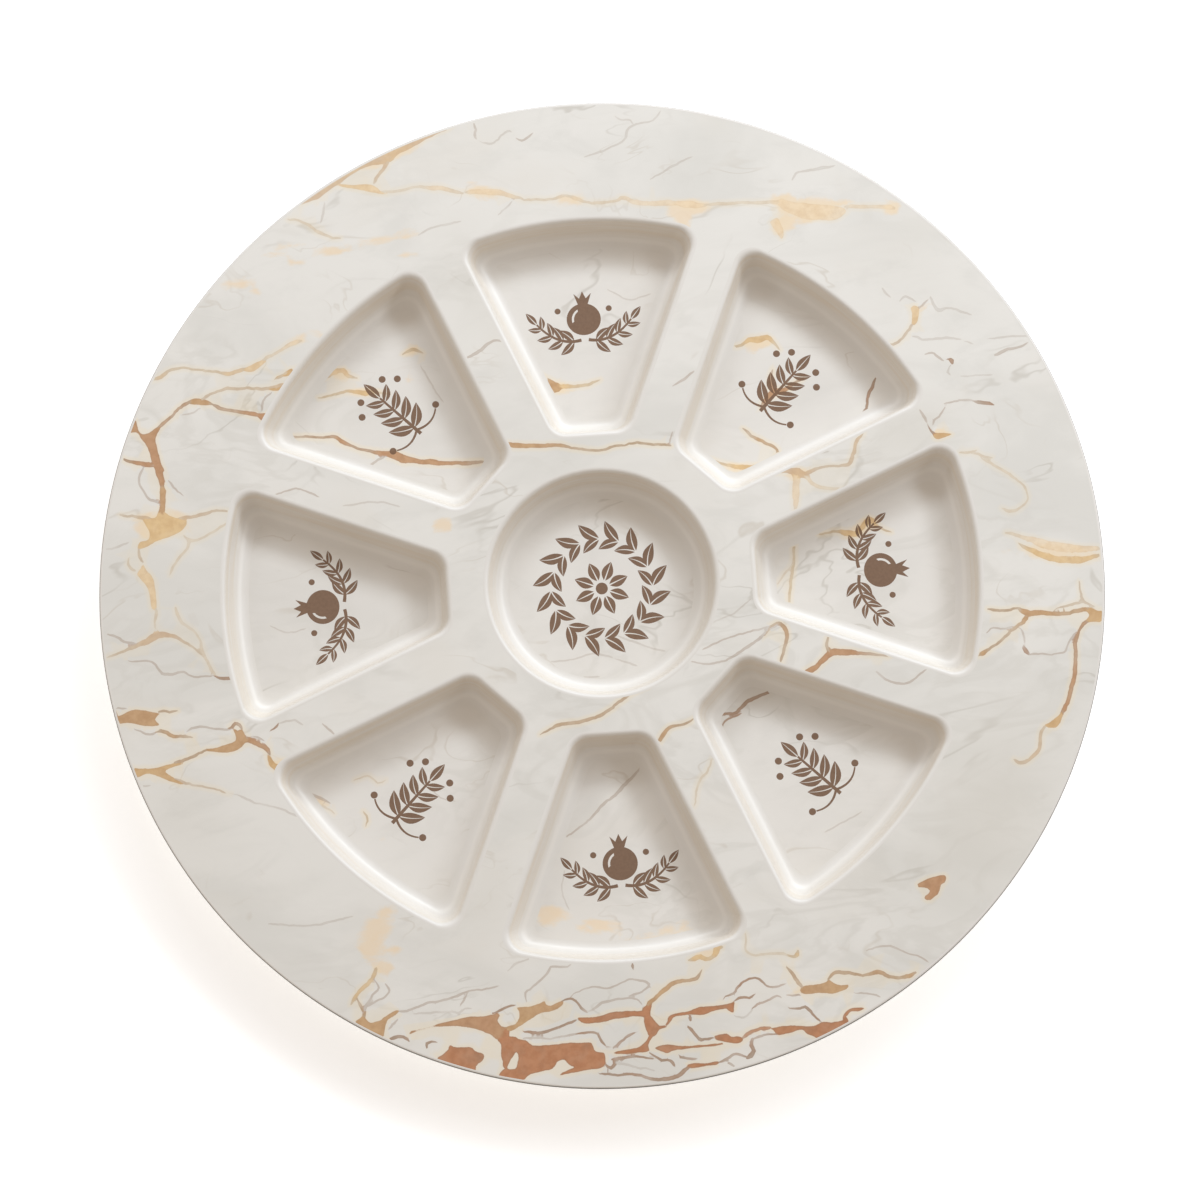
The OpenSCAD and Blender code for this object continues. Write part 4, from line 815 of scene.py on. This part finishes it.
            uvs.append([tuple(uv(bco[i], 1)) for i in t])
            kinds.append(0.0)
    me = bpy.data.meshes.new(name)
    allv = np.concatenate(verts) * MM
    me.from_pydata(allv.tolist(), [], faces)
    extra = len(allv) - n
    for label, val, fill in (("vein_d", vd, 9.0), ("vein_w", vw, 0.3), ("vein_h", vh, 0.5), ("vein_s", vs, 0.0), ("patch", pf, 0.0)):
        at = me.attributes.new(label, "FLOAT", "POINT")
        at.data.foreach_set("value", np.concatenate([val, np.full(extra, fill)]).astype(np.float32))
    at = me.attributes.new("ink", "FLOAT", "FACE")
    at.data.foreach_set("value", np.array(kinds, np.float32))
    layer = me.uv_layers.new(name="OFBake")
    layer.data.foreach_set("uv", np.array([p for f in uvs for p in f], np.float32).ravel())
    me.shade_flat()
    me.validate()
    return me


# ---------------------------------------------------------------- printed ornament
def leaf(x, y, deg, length, width, bend=0.0, gap=0.34, n=9):
    """A pointed leaf in two halves, with a fine bare midrib between them."""
    a = math.radians(deg)
    t = np.linspace(0, 1, n + 1)
    mid = np.stack([t * length, bend * length * (t * (1 - t)) * 4 * 0.25], 1)
    half = width * 0.5 * np.sin(math.pi * t ** 0.85) ** 0.9
    rib = gap * 0.5 * (1 - t) ** 0.6
    out = []
    for sgn in (1, -1):
        edge = mid + np.stack([0 * t, sgn * np.maximum(half, rib + 0.02)], 1)
        core = mid + np.stack([0 * t, sgn * rib], 1)
        poly = np.concatenate([core[:-1], [mid[-1]], edge[1:-1][::-1]])
        c, s = math.cos(a), math.sin(a)
        out.append(np.stack([x + poly[:, 0] * c - poly[:, 1] * s, y + poly[:, 0] * s + poly[:, 1] * c], 1))
    return out


def stroke(p, w0, w1, n=14):
    """A tapering stem through three points."""
    q = bezier(*p, n)
    t = np.gradient(q, axis=0)
    t /= np.linalg.norm(t, axis=1)[:, None]
    nr = np.stack([-t[:, 1], t[:, 0]], 1)
    w = np.linspace(w0, w1, n + 1)[:, None] * 0.5
    return [np.concatenate([q + nr * w, (q - nr * w)[::-1]])]


def disc(x, y, r, n=24):
    return [ring(r, n) + (x, y)]


def on_curve(p, t):
    p0, c, p1 = map(np.asarray, p)
    q = (1 - t) ** 2 * p0 + 2 * t * (1 - t) * c + t * t * p1
    d = 2 * (1 - t) * (c - p0) + 2 * t * (p1 - c)
    return q, math.degrees(math.atan2(d[1], d[0]))


def branch(p, w0, w1, leaves, size, spread=42, tip=True):
    out = stroke(p, w0, w1)
    for i in range(leaves):
        t = 0.16 + 0.72 * i / max(1, leaves - 1)
        q, ang = on_curve(p, t)
        k = size * (1.0 - 0.35 * t)
        out += leaf(q[0], q[1], ang + spread, k, k * 0.42, 0.25)
        out += leaf(q[0], q[1], ang - spread, k, k * 0.42, -0.25)
    if tip:
        q, ang = on_curve(p, 1.0)
        out += leaf(q[0], q[1], ang, size * 0.8, size * 0.34)
    return out


def fruit_sprig():
    """A round fruit with a small crown between two leafy branches."""
    out = []
    body = ring(5.6, 40) * (1.0, 0.96) + (0, 0.4)
    shine = arc(0, 0.4, 3.9, math.radians(118), math.radians(196), 10)
    inner = arc(0, 0.4, 3.2, math.radians(190), math.radians(124), 8)
    out.append(("fill", body))
    out.append(("bare", np.concatenate([shine, inner])))
    crown = np.array([(-1.6, 5.4), (-2.9, 9.2), (-1.1, 7.5), (0, 9.9), (1.1, 7.5), (2.9, 9.2), (1.6, 5.4)])
    out.append(("fill", crown))
    for m in (1, -1):
        for q in branch(((m * 1.2, -6.6), (m * 9, -8.4), (m * 15.5, -0.5)), 1.1, 0.6, 4, 6.6):
            out.append(("fill", q))
        for q in disc(m * 8.4, 3.6, 1.0, 16):
            out.append(("fill", q))
    return out


def leaf_sprig():
    """An upright branch of paired leaves with berries."""
    out = []
    for q in branch(((0, -11.5), (0, -2), (0, 6.5)), 1.2, 0.7, 4, 9.0, spread=52):
        out.append(("fill", q))
    for m in (1, -1):
        for x, y, r in ((5.2, 10.2, 1.15), (8.6, 6.6, 1.15), (10.4, -8.6, 1.15)):
            for q in disc(m * x, y, r, 16):
                out.append(("fill", q))
        for q in stroke(((0, -9.6), (m * 5, -12.6), (m * 9.4, -9.4)), 0.8, 0.5):
            out.append(("fill", q))
    return out


def wreath():
    """A ring of broad leaves round an eight-petalled rosette."""
    out = []
    n = 16
    for i in range(n):
        a = 2 * math.pi * i / n
        deg = math.degrees(a)
        x, y = 19.5 * math.cos(a), 19.5 * math.sin(a)
        for q in leaf(x, y, deg + 90 - 38, 9.4, 4.2, 0.3, gap=0.5):
            out.append(("fill", q))
        for q in leaf(x * 0.985, y * 0.985, deg + 90 + 40, 8.0, 3.7, -0.3, gap=0.5):
            out.append(("fill", q))
    for i in range(8):
        a = 2 * math.pi * (i + 0.5) / 8
        deg = math.degrees(a)
        for q in leaf(3.3 * math.cos(a), 3.3 * math.sin(a), deg, 7.6, 4.3, 0, gap=0.55):
            out.append(("fill", q))
    for q in disc(0, 0, 2.3, 28):
        out.append(("fill", q))
    return out


# ---------------------------------------------------------------- materials
class Graph:
    """Short calls for building a material's nodes."""

    def __init__(self, name):
        self.mat = bpy.data.materials.new(name)
        self.mat.use_nodes = True
        self.t = self.mat.node_tree
        self.t.nodes.clear()
        self.out = self.t.nodes.new("ShaderNodeOutputMaterial")
        self.bsdf = self.t.nodes.new("ShaderNodeBsdfPrincipled")
        self.t.links.new(self.bsdf.outputs[0], self.out.inputs[0])
        tc = self.t.nodes.new("ShaderNodeTexCoord")
        self.p = self.scale(tc.outputs["Object"], 1000.0)

    def put(self, socket, value):
        if isinstance(value, bpy.types.NodeSocket):
            self.t.links.new(value, socket)
        elif isinstance(value, tuple) and len(value) == 3 and socket.type == "RGBA":
            socket.default_value = (*value, 1.0)
        else:
            socket.default_value = value

    def math(self, op, a, b=0.0, c=0.0, clamp=False):
        n = self.t.nodes.new("ShaderNodeMath")
        n.operation = op
        n.use_clamp = clamp
        for sock, v in zip(n.inputs, (a, b, c)):
            self.put(sock, v)
        return n.outputs[0]

    def add(self, a, b, clamp=False):
        return self.math("ADD", a, b, clamp=clamp)

    def sub(self, a, b, clamp=False):
        return self.math("SUBTRACT", a, b, clamp=clamp)

    def mul(self, a, b, clamp=False):
        return self.math("MULTIPLY", a, b, clamp=clamp)

    def step(self, v, lo, hi, to0=0.0, to1=1.0, smooth=True):
        n = self.t.nodes.new("ShaderNodeMapRange")
        n.interpolation_type = "SMOOTHSTEP" if smooth else "LINEAR"
        n.clamp = True
        for name, val in (("Value", v), ("From Min", lo), ("From Max", hi), ("To Min", to0), ("To Max", to1)):
            self.put(n.inputs[name], val)
        return n.outputs[0]

    def mix(self, f, a, b, mode="MIX"):
        n = self.t.nodes.new("ShaderNodeMix")
        n.data_type = "RGBA"
        n.blend_type = mode
        n.clamp_factor = True
        self.put(n.inputs[0], f)
        self.put(n.inputs[6], a)
        self.put(n.inputs[7], b)
        return n.outputs[2]

    def scale(self, v, k):
        n = self.t.nodes.new("ShaderNodeVectorMath")
        n.operation = "SCALE"
        self.put(n.inputs[0], v)
        self.put(n.inputs["Scale"], k)
        return n.outputs[0]

    def vec(self, op, a, b):
        n = self.t.nodes.new("ShaderNodeVectorMath")
        n.operation = op
        self.put(n.inputs[0], a)
        self.put(n.inputs[1], b)
        return n.outputs[0]

    def mapped(self, rot_z, scl, loc=(0, 0, 0)):
        n = self.t.nodes.new("ShaderNodeMapping")
        n.inputs["Rotation"].default_value = (0, 0, math.radians(rot_z))
        n.inputs["Scale"].default_value = scl
        n.inputs["Location"].default_value = loc
        self.put(n.inputs["Vector"], self.p)
        return n.outputs[0]

    def noise(self, wave, detail=2.0, rough=0.5, vec=None, distort=0.0, colour=False):
        n = self.t.nodes.new("ShaderNodeTexNoise")
        n.inputs["Scale"].default_value = 1.0 / wave
        n.inputs["Detail"].default_value = detail
        n.inputs["Roughness"].default_value = rough
        n.inputs["Distortion"].default_value = distort
        self.put(n.inputs["Vector"], self.p if vec is None else vec)
        return n.outputs["Color" if colour else "Fac"]

    def attr(self, name):
        n = self.t.nodes.new("ShaderNodeAttribute")
        n.attribute_type = "GEOMETRY"
        n.attribute_name = name
        return n.outputs["Fac"]

    def ramp(self, f, stops):
        n = self.t.nodes.new("ShaderNodeValToRGB")
        el = n.color_ramp.elements
        while len(el) < len(stops):
            el.new(0.5)
        for e, (pos, col) in zip(el, stops):
            e.position = pos
            e.color = (*col, 1.0)
        self.put(n.inputs[0], f)
        return n.outputs[0]

    def bump(self, h, strength, dist):
        n = self.t.nodes.new("ShaderNodeBump")
        n.inputs["Strength"].default_value = strength
        n.inputs["Distance"].default_value = dist
        self.put(n.inputs["Height"], h)
        return n.outputs[0]


def hairline(g, wave, width, vec, detail, distort, keep_wave, lo, hi):
    """Thin wandering lines along the middle level of a noise, kept only in places."""
    n = g.noise(wave, detail, 0.5, vec, distort)
    away = g.math("ABSOLUTE", g.sub(n, 0.5))
    thin = g.step(away, 0.0, width, 1.0, 0.0)
    keep = g.step(g.noise(keep_wave, 2, 0.5, vec), lo, hi)
    return g.mul(thin, keep)


def marble(name, white, cloud, warm):
    g = Graph(name)
    flow = g.mapped(-24, (0.55, 1.0, 1.0))
    # ground: clouds, streaks and fine grey lines
    big = g.noise(62, 5, 0.56, flow, 0.9)
    small = g.noise(17, 5, 0.62, flow, 0.6)
    col = g.mix(g.step(big, 0.42, 0.68), white, cloud)
    col = g.mix(g.mul(g.step(small, 0.47, 0.71), 0.68), col, cloud)
    col = g.mix(g.mul(g.step(g.noise(38, 4, 0.5, g.mapped(14, (0.7, 1, 1), (40, 90, 3)), 0.5), 0.52, 0.76), 0.5), col, warm)
    lines = hairline(g, 46, 0.011, flow, 4, 0.7, 34, 0.50, 0.66)
    lines2 = hairline(g, 27, 0.016, g.mapped(31, (0.6, 1, 1), (13, 57, 0)), 3, 0.9, 29, 0.50, 0.68)
    veil = hairline(g, 21, 0.075, g.mapped(-38, (0.5, 1, 1), (71, 22, 4)), 4, 1.1, 41, 0.42, 0.64)
    col = g.mix(g.mul(veil, 0.38), col, (0.69, 0.665, 0.61))
    col = g.mix(g.mul(lines, 0.46), col, (0.52, 0.485, 0.42))
    col = g.mix(g.mul(lines2, 0.38), col, (0.58, 0.51, 0.415))
    # soft gold wash
    patch = g.attr("patch")
    rag = g.noise(7.5, 5, 0.62, g.mapped(-8, (0.5, 1, 1)), 0.4)
    dull = g.mul(g.step(patch, -1.0, 0.0, 1.0, 0.0, smooth=False), g.step(big, 0.3, 0.7, 0.7, 1.0))
    col = g.mix(g.mul(dull, 0.8), col, (0.705, 0.675, 0.61))
    pm = g.step(g.add(patch, g.mul(g.sub(rag, 0.5), 1.25)), 0.28, 0.66)
    pm = g.mul(pm, g.step(patch, 0.05, 0.25))
    wash = g.mix(g.noise(5, 3, 0.6), (0.90, 0.765, 0.595), (0.885, 0.70, 0.48))
    col = g.mix(g.mul(pm, 0.85), col, wash)
    # veins
    vd, vw, vh, vs = g.attr("vein_d"), g.attr("vein_w"), g.attr("vein_h"), g.attr("vein_s")
    swell = g.step(g.noise(8.5, 3, 0.55), 0.28, 0.72, 0.72, 1.28, smooth=False)
    half = g.mul(vw, swell)
    amp = g.step(vw, 0.3, 2.2, 0.28, 1.25, smooth=False)
    edge = g.mul(g.sub(g.noise(2.6, 4, 0.62), 0.5), amp)
    depth = g.add(g.sub(half, vd), edge)
    body = g.step(depth, -0.17, 0.17)
    # warm veins bleed a little into the ground beside them
    halo = g.mul(g.step(depth, -2.0, -0.2), g.step(vh, 0.70, 0.78, 0.36, 0.04))
    fade = g.step(g.noise(13, 3, 0.55, g.mapped(0, (1, 1, 1), (31, 7, 2))), 0.30, 0.52, 0.55, 1.0)
    thick = g.step(vw, 0.35, 0.9)
    fade = g.add(g.mul(fade, g.sub(1.0, thick)), thick)
    hue = g.add(vh, g.mul(g.sub(g.noise(10, 3, 0.55), 0.5), 0.20))
    tone = g.ramp(hue, [(0.0, (0.945, 0.77, 0.545)), (0.18, (0.80, 0.555, 0.265)), (0.36, (0.61, 0.385, 0.205)),
                        (0.52, (0.575, 0.335, 0.185)), (0.68, (0.56, 0.262, 0.136)), (0.82, (0.46, 0.35, 0.265)),
                        (1.0, (0.54, 0.515, 0.46))])
    # the thinner warm veins are greyer than the wide ones
    lean = g.mul(g.step(vw, 0.45, 0.95, 1.0, 0.0), g.step(vh, 0.56, 0.66, 1.0, 0.0))
    tone = g.mix(g.mul(lean, 0.5), tone, (0.56, 0.53, 0.455))
    core = g.step(depth, 0.08, 0.60)
    rust = g.mix(g.step(g.noise(3.2, 4, 0.6), 0.35, 0.7), (1.0, 1.0, 1.0), (0.86, 0.80, 0.74))
    tone = g.mix(1.0, tone, rust, "MULTIPLY")
    rim = g.mix(g.step(vh, 0.30, 0.66, 0.10, 0.46, smooth=False), tone, (0.33, 0.18, 0.105))
    tone = g.mix(core, rim, tone)
    col = g.mix(g.mul(halo, vs), col, (0.93, 0.77, 0.50))
    col = g.mix(g.mul(g.mul(body, vs), fade), col, tone)
    # printed ornament
    ink = g.attr("ink")
    grain = g.noise(1.1, 4, 0.6)
    ink_col = g.mix(g.step(grain, 0.35, 0.7), (0.215, 0.125, 0.075), (0.19, 0.109, 0.065))
    col = g.mix(g.mul(ink, 0.97), col, ink_col)
    g.put(g.bsdf.inputs["Base Color"], col)
    rough = g.step(g.noise(9, 4, 0.6), 0.3, 0.7, 0.33, 0.41, smooth=False)
    rough = g.sub(rough, g.mul(g.mul(body, vs), 0.05))
    g.put(g.bsdf.inputs["Roughness"], rough)
    g.bsdf.inputs["IOR"].default_value = 1.5
    g.bsdf.inputs["Specular IOR Level"].default_value = 0.42
    relief = g.add(g.mul(g.noise(3.4, 3, 0.5), 0.6), g.mul(g.noise(0.7, 2, 0.5), 0.25))
    g.put(g.bsdf.inputs["Normal"], g.bump(relief, 0.05, 0.0002))
    return g.mat


def melamine():
    g = Graph("glazed_melamine")
    geo = g.t.nodes.new("ShaderNodeNewGeometry")
    sep = g.t.nodes.new("ShaderNodeSeparateXYZ")
    g.put(sep.inputs[0], geo.outputs["Normal"])
    steep = g.step(g.math("ABSOLUTE", sep.outputs[2]), 0.25, 0.92, 1.0, 0.0)
    flat = g.mapped(0, (0.03, 0.03, 1.0))
    lay = g.noise(2.3, 3, 0.6, flat, 0.1)
    fine = g.noise(0.8, 3, 0.6, flat)
    mott = g.noise(26, 4, 0.55)
    col = g.mix(g.step(mott, 0.35, 0.68), (0.815, 0.788, 0.746), (0.797, 0.767, 0.717))
    # tan streaks on the steep well walls: partly layer lines in the moulding, partly painted shade that darkens and
    # warms every wall
    layers_and_wall_shade = g.add(g.mul(g.step(lay, 0.36, 0.62), 0.62), g.mul(g.step(fine, 0.38, 0.64), 0.38))
    col = g.mix(g.mul(g.mul(g.add(g.mul(layers_and_wall_shade, 0.75), 0.25), steep), 0.63), col, (0.76, 0.665, 0.537))
    spots = g.step(g.noise(0.8, 2, 0.5), 0.70, 0.78)
    col = g.mix(g.mul(spots, 0.10), col, (0.60, 0.52, 0.43))
    at = g.t.nodes.new("ShaderNodeSeparateXYZ")
    g.put(at.inputs[0], g.p)
    # painted highlight: a paler band where the wall runs out into the cove, standing in for the light that the upturned
    # cove catches
    high = g.sub(at.outputs[2], FLOOR_Z)
    cove_highlight_mask = g.mul(g.step(high, 0.35, 0.8), g.step(high, 1.1, 1.9, 1.0, 0.0))
    col = g.mix(g.mul(cove_highlight_mask, 0.45), col, (0.89, 0.855, 0.80))
    # painted shade: a thin near-black line along the outer side of the rim, standing in for the rim's side in shadow
    far = g.math("SQRT", g.add(g.mul(at.outputs[0], at.outputs[0]), g.mul(at.outputs[1], at.outputs[1])))
    rim_shade_mask = g.mul(g.step(far, PLATE_R - 0.38, PLATE_R - 0.16), g.step(g.noise(5, 3, 0.6), 0.2, 0.5, 0.94, 1.0))
    col = g.mix(g.mul(rim_shade_mask, 0.97), col, (0.10, 0.091, 0.081))
    g.put(g.bsdf.inputs["Base Color"], col)
    g.put(g.bsdf.inputs["Roughness"], g.step(g.noise(6, 4, 0.6), 0.3, 0.7, 0.30, 0.38, smooth=False))
    g.bsdf.inputs["IOR"].default_value = 1.5
    g.bsdf.inputs["Specular IOR Level"].default_value = 0.4
    relief = g.add(g.mul(g.mul(layers_and_wall_shade, steep), 0.5), g.mul(g.noise(2.6, 3, 0.5), 0.5))
    g.put(g.bsdf.inputs["Normal"], g.bump(relief, 0.10, 0.0003))
    return g.mat


def floor_paint():
    g = Graph("pale_floor")
    n = g.noise(140, 4, 0.55)
    g.put(g.bsdf.inputs["Base Color"], g.mix(g.step(n, 0.35, 0.65), (0.955, 0.952, 0.945), (0.935, 0.932, 0.925)))
    g.put(g.bsdf.inputs["Roughness"], g.step(g.noise(4, 3, 0.6), 0.3, 0.7, 0.75, 0.85))
    g.bsdf.inputs["Emission Color"].default_value = (1.0, 1.0, 1.0, 1.0)
    g.bsdf.inputs["Emission Strength"].default_value = 0.40
    return g.mat


# ---------------------------------------------------------------- pieces
cream = melamine()
deck_print = marble("marble_print_deck", (0.845, 0.823, 0.775), (0.765, 0.747, 0.70), (0.81, 0.772, 0.705))
floor_print = marble("marble_print_floor", (0.822, 0.793, 0.746), (0.763, 0.737, 0.692), (0.793, 0.753, 0.69))

place("moulded_plate", build_body(), cream, ["plate_body"])


def deck_uv(p, kind):
    if kind == 0:
        return (0.5 + p[0] / 384.0, 0.5 + p[1] / 384.0)
    if kind == 1:
        return (0.062 + p[0] / 384.0 * 0.115, 0.062 + p[1] / 384.0 * 0.115)
    return (0.88 + 0.11 * p[0], 0.005 + 0.012 * p[1])


sheet_r = PLATE_R - EDGE_R - FOIL_GAP
windows = [turned(wedge(-FOIL_GAP), i) for i in range(8)] + [centre(-FOIL_GAP)]
deck_mesh = print_mesh("marble_deck", ring(sheet_r, 360), windows, DECK_Z, DECK_VEINS, DECK_PATCHES, [], 0, 4.0, 1.0, deck_uv,
                       [(m[0], m[1:]) for m in DECK_MASSES] + [("bare", m) for m in DECK_BARE])
place("marble_deck", deck_mesh, deck_print, ["deck_foil"])

FLOOR_E = WALL_E + FOIL_GAP
for k in range(8):
    up = 1 if k in (0, 1, 2, 3, 4) else -1
    motif = fruit_sprig() if k % 2 == 0 else leaf_sprig()
    fills, bares = [], []
    for kind, q in motif:
        # the ornament's upright runs along the well, away from the plate's centre on the far side and towards it on the near side
        turned_q = np.stack([106.0 + up * q[:, 1] * 1.18, -up * q[:, 0] * 1.18], 1)
        (fills if kind == "fill" else bares).append(turned_q)
    shape = wedge(FLOOR_E)
    size = shape.max(0) - shape.min(0)
    low = shape.min(0)
    span = float(size.max()) * 1.02

    def floor_uv(p, kind, low=low, span=span):
        if kind == 0:
            return (0.01 + (p[0] - low[0]) / span, 0.01 + (p[1] - low[1]) / span)
        if kind == 1:
            return (0.012 + (p[0] - low[0]) / span * 0.16, 0.012 + (p[1] - low[1]) / span * 0.16)
        return (0.012 + 0.2 * p[0], 0.955 + 0.03 * p[1])

    me = print_mesh(f"marble_floor_{k + 1}", shape, [], FLOOR_Z, FLOOR_VEINS[k + 1], FLOOR_PATCHES[k + 1],
                    fills + bares, k, 4.0, 1.0, floor_uv)
    if bares:
        # lift the ink out of the bare highlights
        tri_mid = np.array([p.center for p in me.polygons]) / MM
        a = math.radians(-45 * k)
        loc = np.stack([tri_mid[:, 0] * math.cos(a) - tri_mid[:, 1] * math.sin(a),
                        tri_mid[:, 0] * math.sin(a) + tri_mid[:, 1] * math.cos(a)], 1)
        ink = np.zeros(len(me.polygons), np.float32)
        me.attributes["ink"].data.foreach_get("value", ink)
        for q in bares:
            ink[inside(loc, q)] = 0.0
        me.attributes["ink"].data.foreach_set("value", ink)
    place(f"marble_floor_{k + 1}", me, floor_print, [f"floor_foil_{k + 1}"])


def centre_uv(p, kind):
    r = CENTRE_R - FLOOR_E
    if kind == 0:
        return (0.5 + p[0] / (2.06 * r), 0.5 + p[1] / (2.06 * r))
    if kind == 1:
        return (0.065 + p[0] / (2.06 * r) * 0.115, 0.065 + p[1] / (2.06 * r) * 0.115)
    return (0.88 + 0.11 * p[0], 0.01 + 0.03 * p[1])


me = print_mesh("marble_floor_centre", centre(FLOOR_E), [], FLOOR_Z, FLOOR_VEINS[9], FLOOR_PATCHES[9],
                [q for _, q in wreath()], 0, 4.0, 1.0, centre_uv)
place("marble_floor_centre", me, floor_print, ["floor_foil_centre"])

# ---------------------------------------------------------------- stage, light and camera
bpy.ops.mesh.primitive_grid_add(x_subdivisions=8, y_subdivisions=8, size=9.0, location=(0, 0, 0))
ground = bpy.context.object
ground.name = "studio_floor"
ground.data.materials.append(floor_paint())

world = bpy.data.worlds.new("studio")
bpy.context.scene.world = world
world.use_nodes = True
bg = world.node_tree.nodes["Background"]
bg.inputs["Color"].default_value = (1.0, 0.88, 0.77, 1.0)
bg.inputs["Strength"].default_value = 0.465


def lamp(name, azimuth, elevation, distance, size, watts, colour):
    """A soft lamp, wide by high, that faces the plate's centre."""
    data = bpy.data.lights.new(name, "AREA")
    data.shape = "ELLIPSE"
    data.size, data.size_y = size
    data.energy = watts
    data.color = colour
    ob = bpy.data.objects.new(name, data)
    bpy.context.scene.collection.objects.link(ob)
    a, e = math.radians(azimuth), math.radians(elevation)
    d = Vector((math.cos(e) * math.cos(a), math.cos(e) * math.sin(a), math.sin(e)))
    ob.location = Vector((0, 0, 0.016)) + d * distance
    ob.rotation_euler = d.to_track_quat("Z", "Y").to_euler()
    return ob


# one wide soft source, as a shallow arc of lamps behind and to the right
for name, azimuth, elevation, watts in (
        ("key_0", 4, 32, 2.3), ("key_1", 27, 32, 6.5), ("key_2", 49, 31, 8.3),
        ("key_3", 71, 31, 8.3), ("key_4", 94, 32, 6.2), ("key_5", 122, 33, 3.2), ("key_6", 146, 34, 1.0)):
    lamp(name, azimuth, elevation, 2.0, (0.80, 0.40), watts, (0.91, 1.003, 1.105))
lamp("fill", 190, 30, 2.0, (0.9, 0.9), 1.5, (1.06, 1.0, 0.93))

cam_data = bpy.data.cameras.new("camera")
cam = bpy.data.objects.new("camera", cam_data)
bpy.context.scene.collection.objects.link(cam)
tilt, turn, dist = math.radians(11.55), math.radians(-90.89), 1.3623
at = Vector((0, 0, DECK_Z * MM)) + dist * Vector((math.sin(tilt) * math.cos(turn), math.sin(tilt) * math.sin(turn), math.cos(tilt)))
aim = Vector((-0.0010, -0.0068, DECK_Z * MM))
back = (at - aim).normalized()
right = Vector((math.sin(math.radians(3.75)), math.cos(math.radians(3.75)), 0)).cross(back).normalized()
up = back.cross(right)
cam.matrix_world = Matrix(((right.x, up.x, back.x, at.x), (right.y, up.y, back.y, at.y), (right.z, up.z, back.z, at.z), (0, 0, 0, 1)))
cam_data.lens = 108.21
cam_data.sensor_width = 36.0
cam_data.sensor_fit = "HORIZONTAL"
cam_data.clip_start = 0.01
cam_data.clip_end = 50.0
cam_data.dof.use_dof = False
bpy.context.scene.camera = cam
bpy.context.scene.view_settings.view_transform = "Standard"
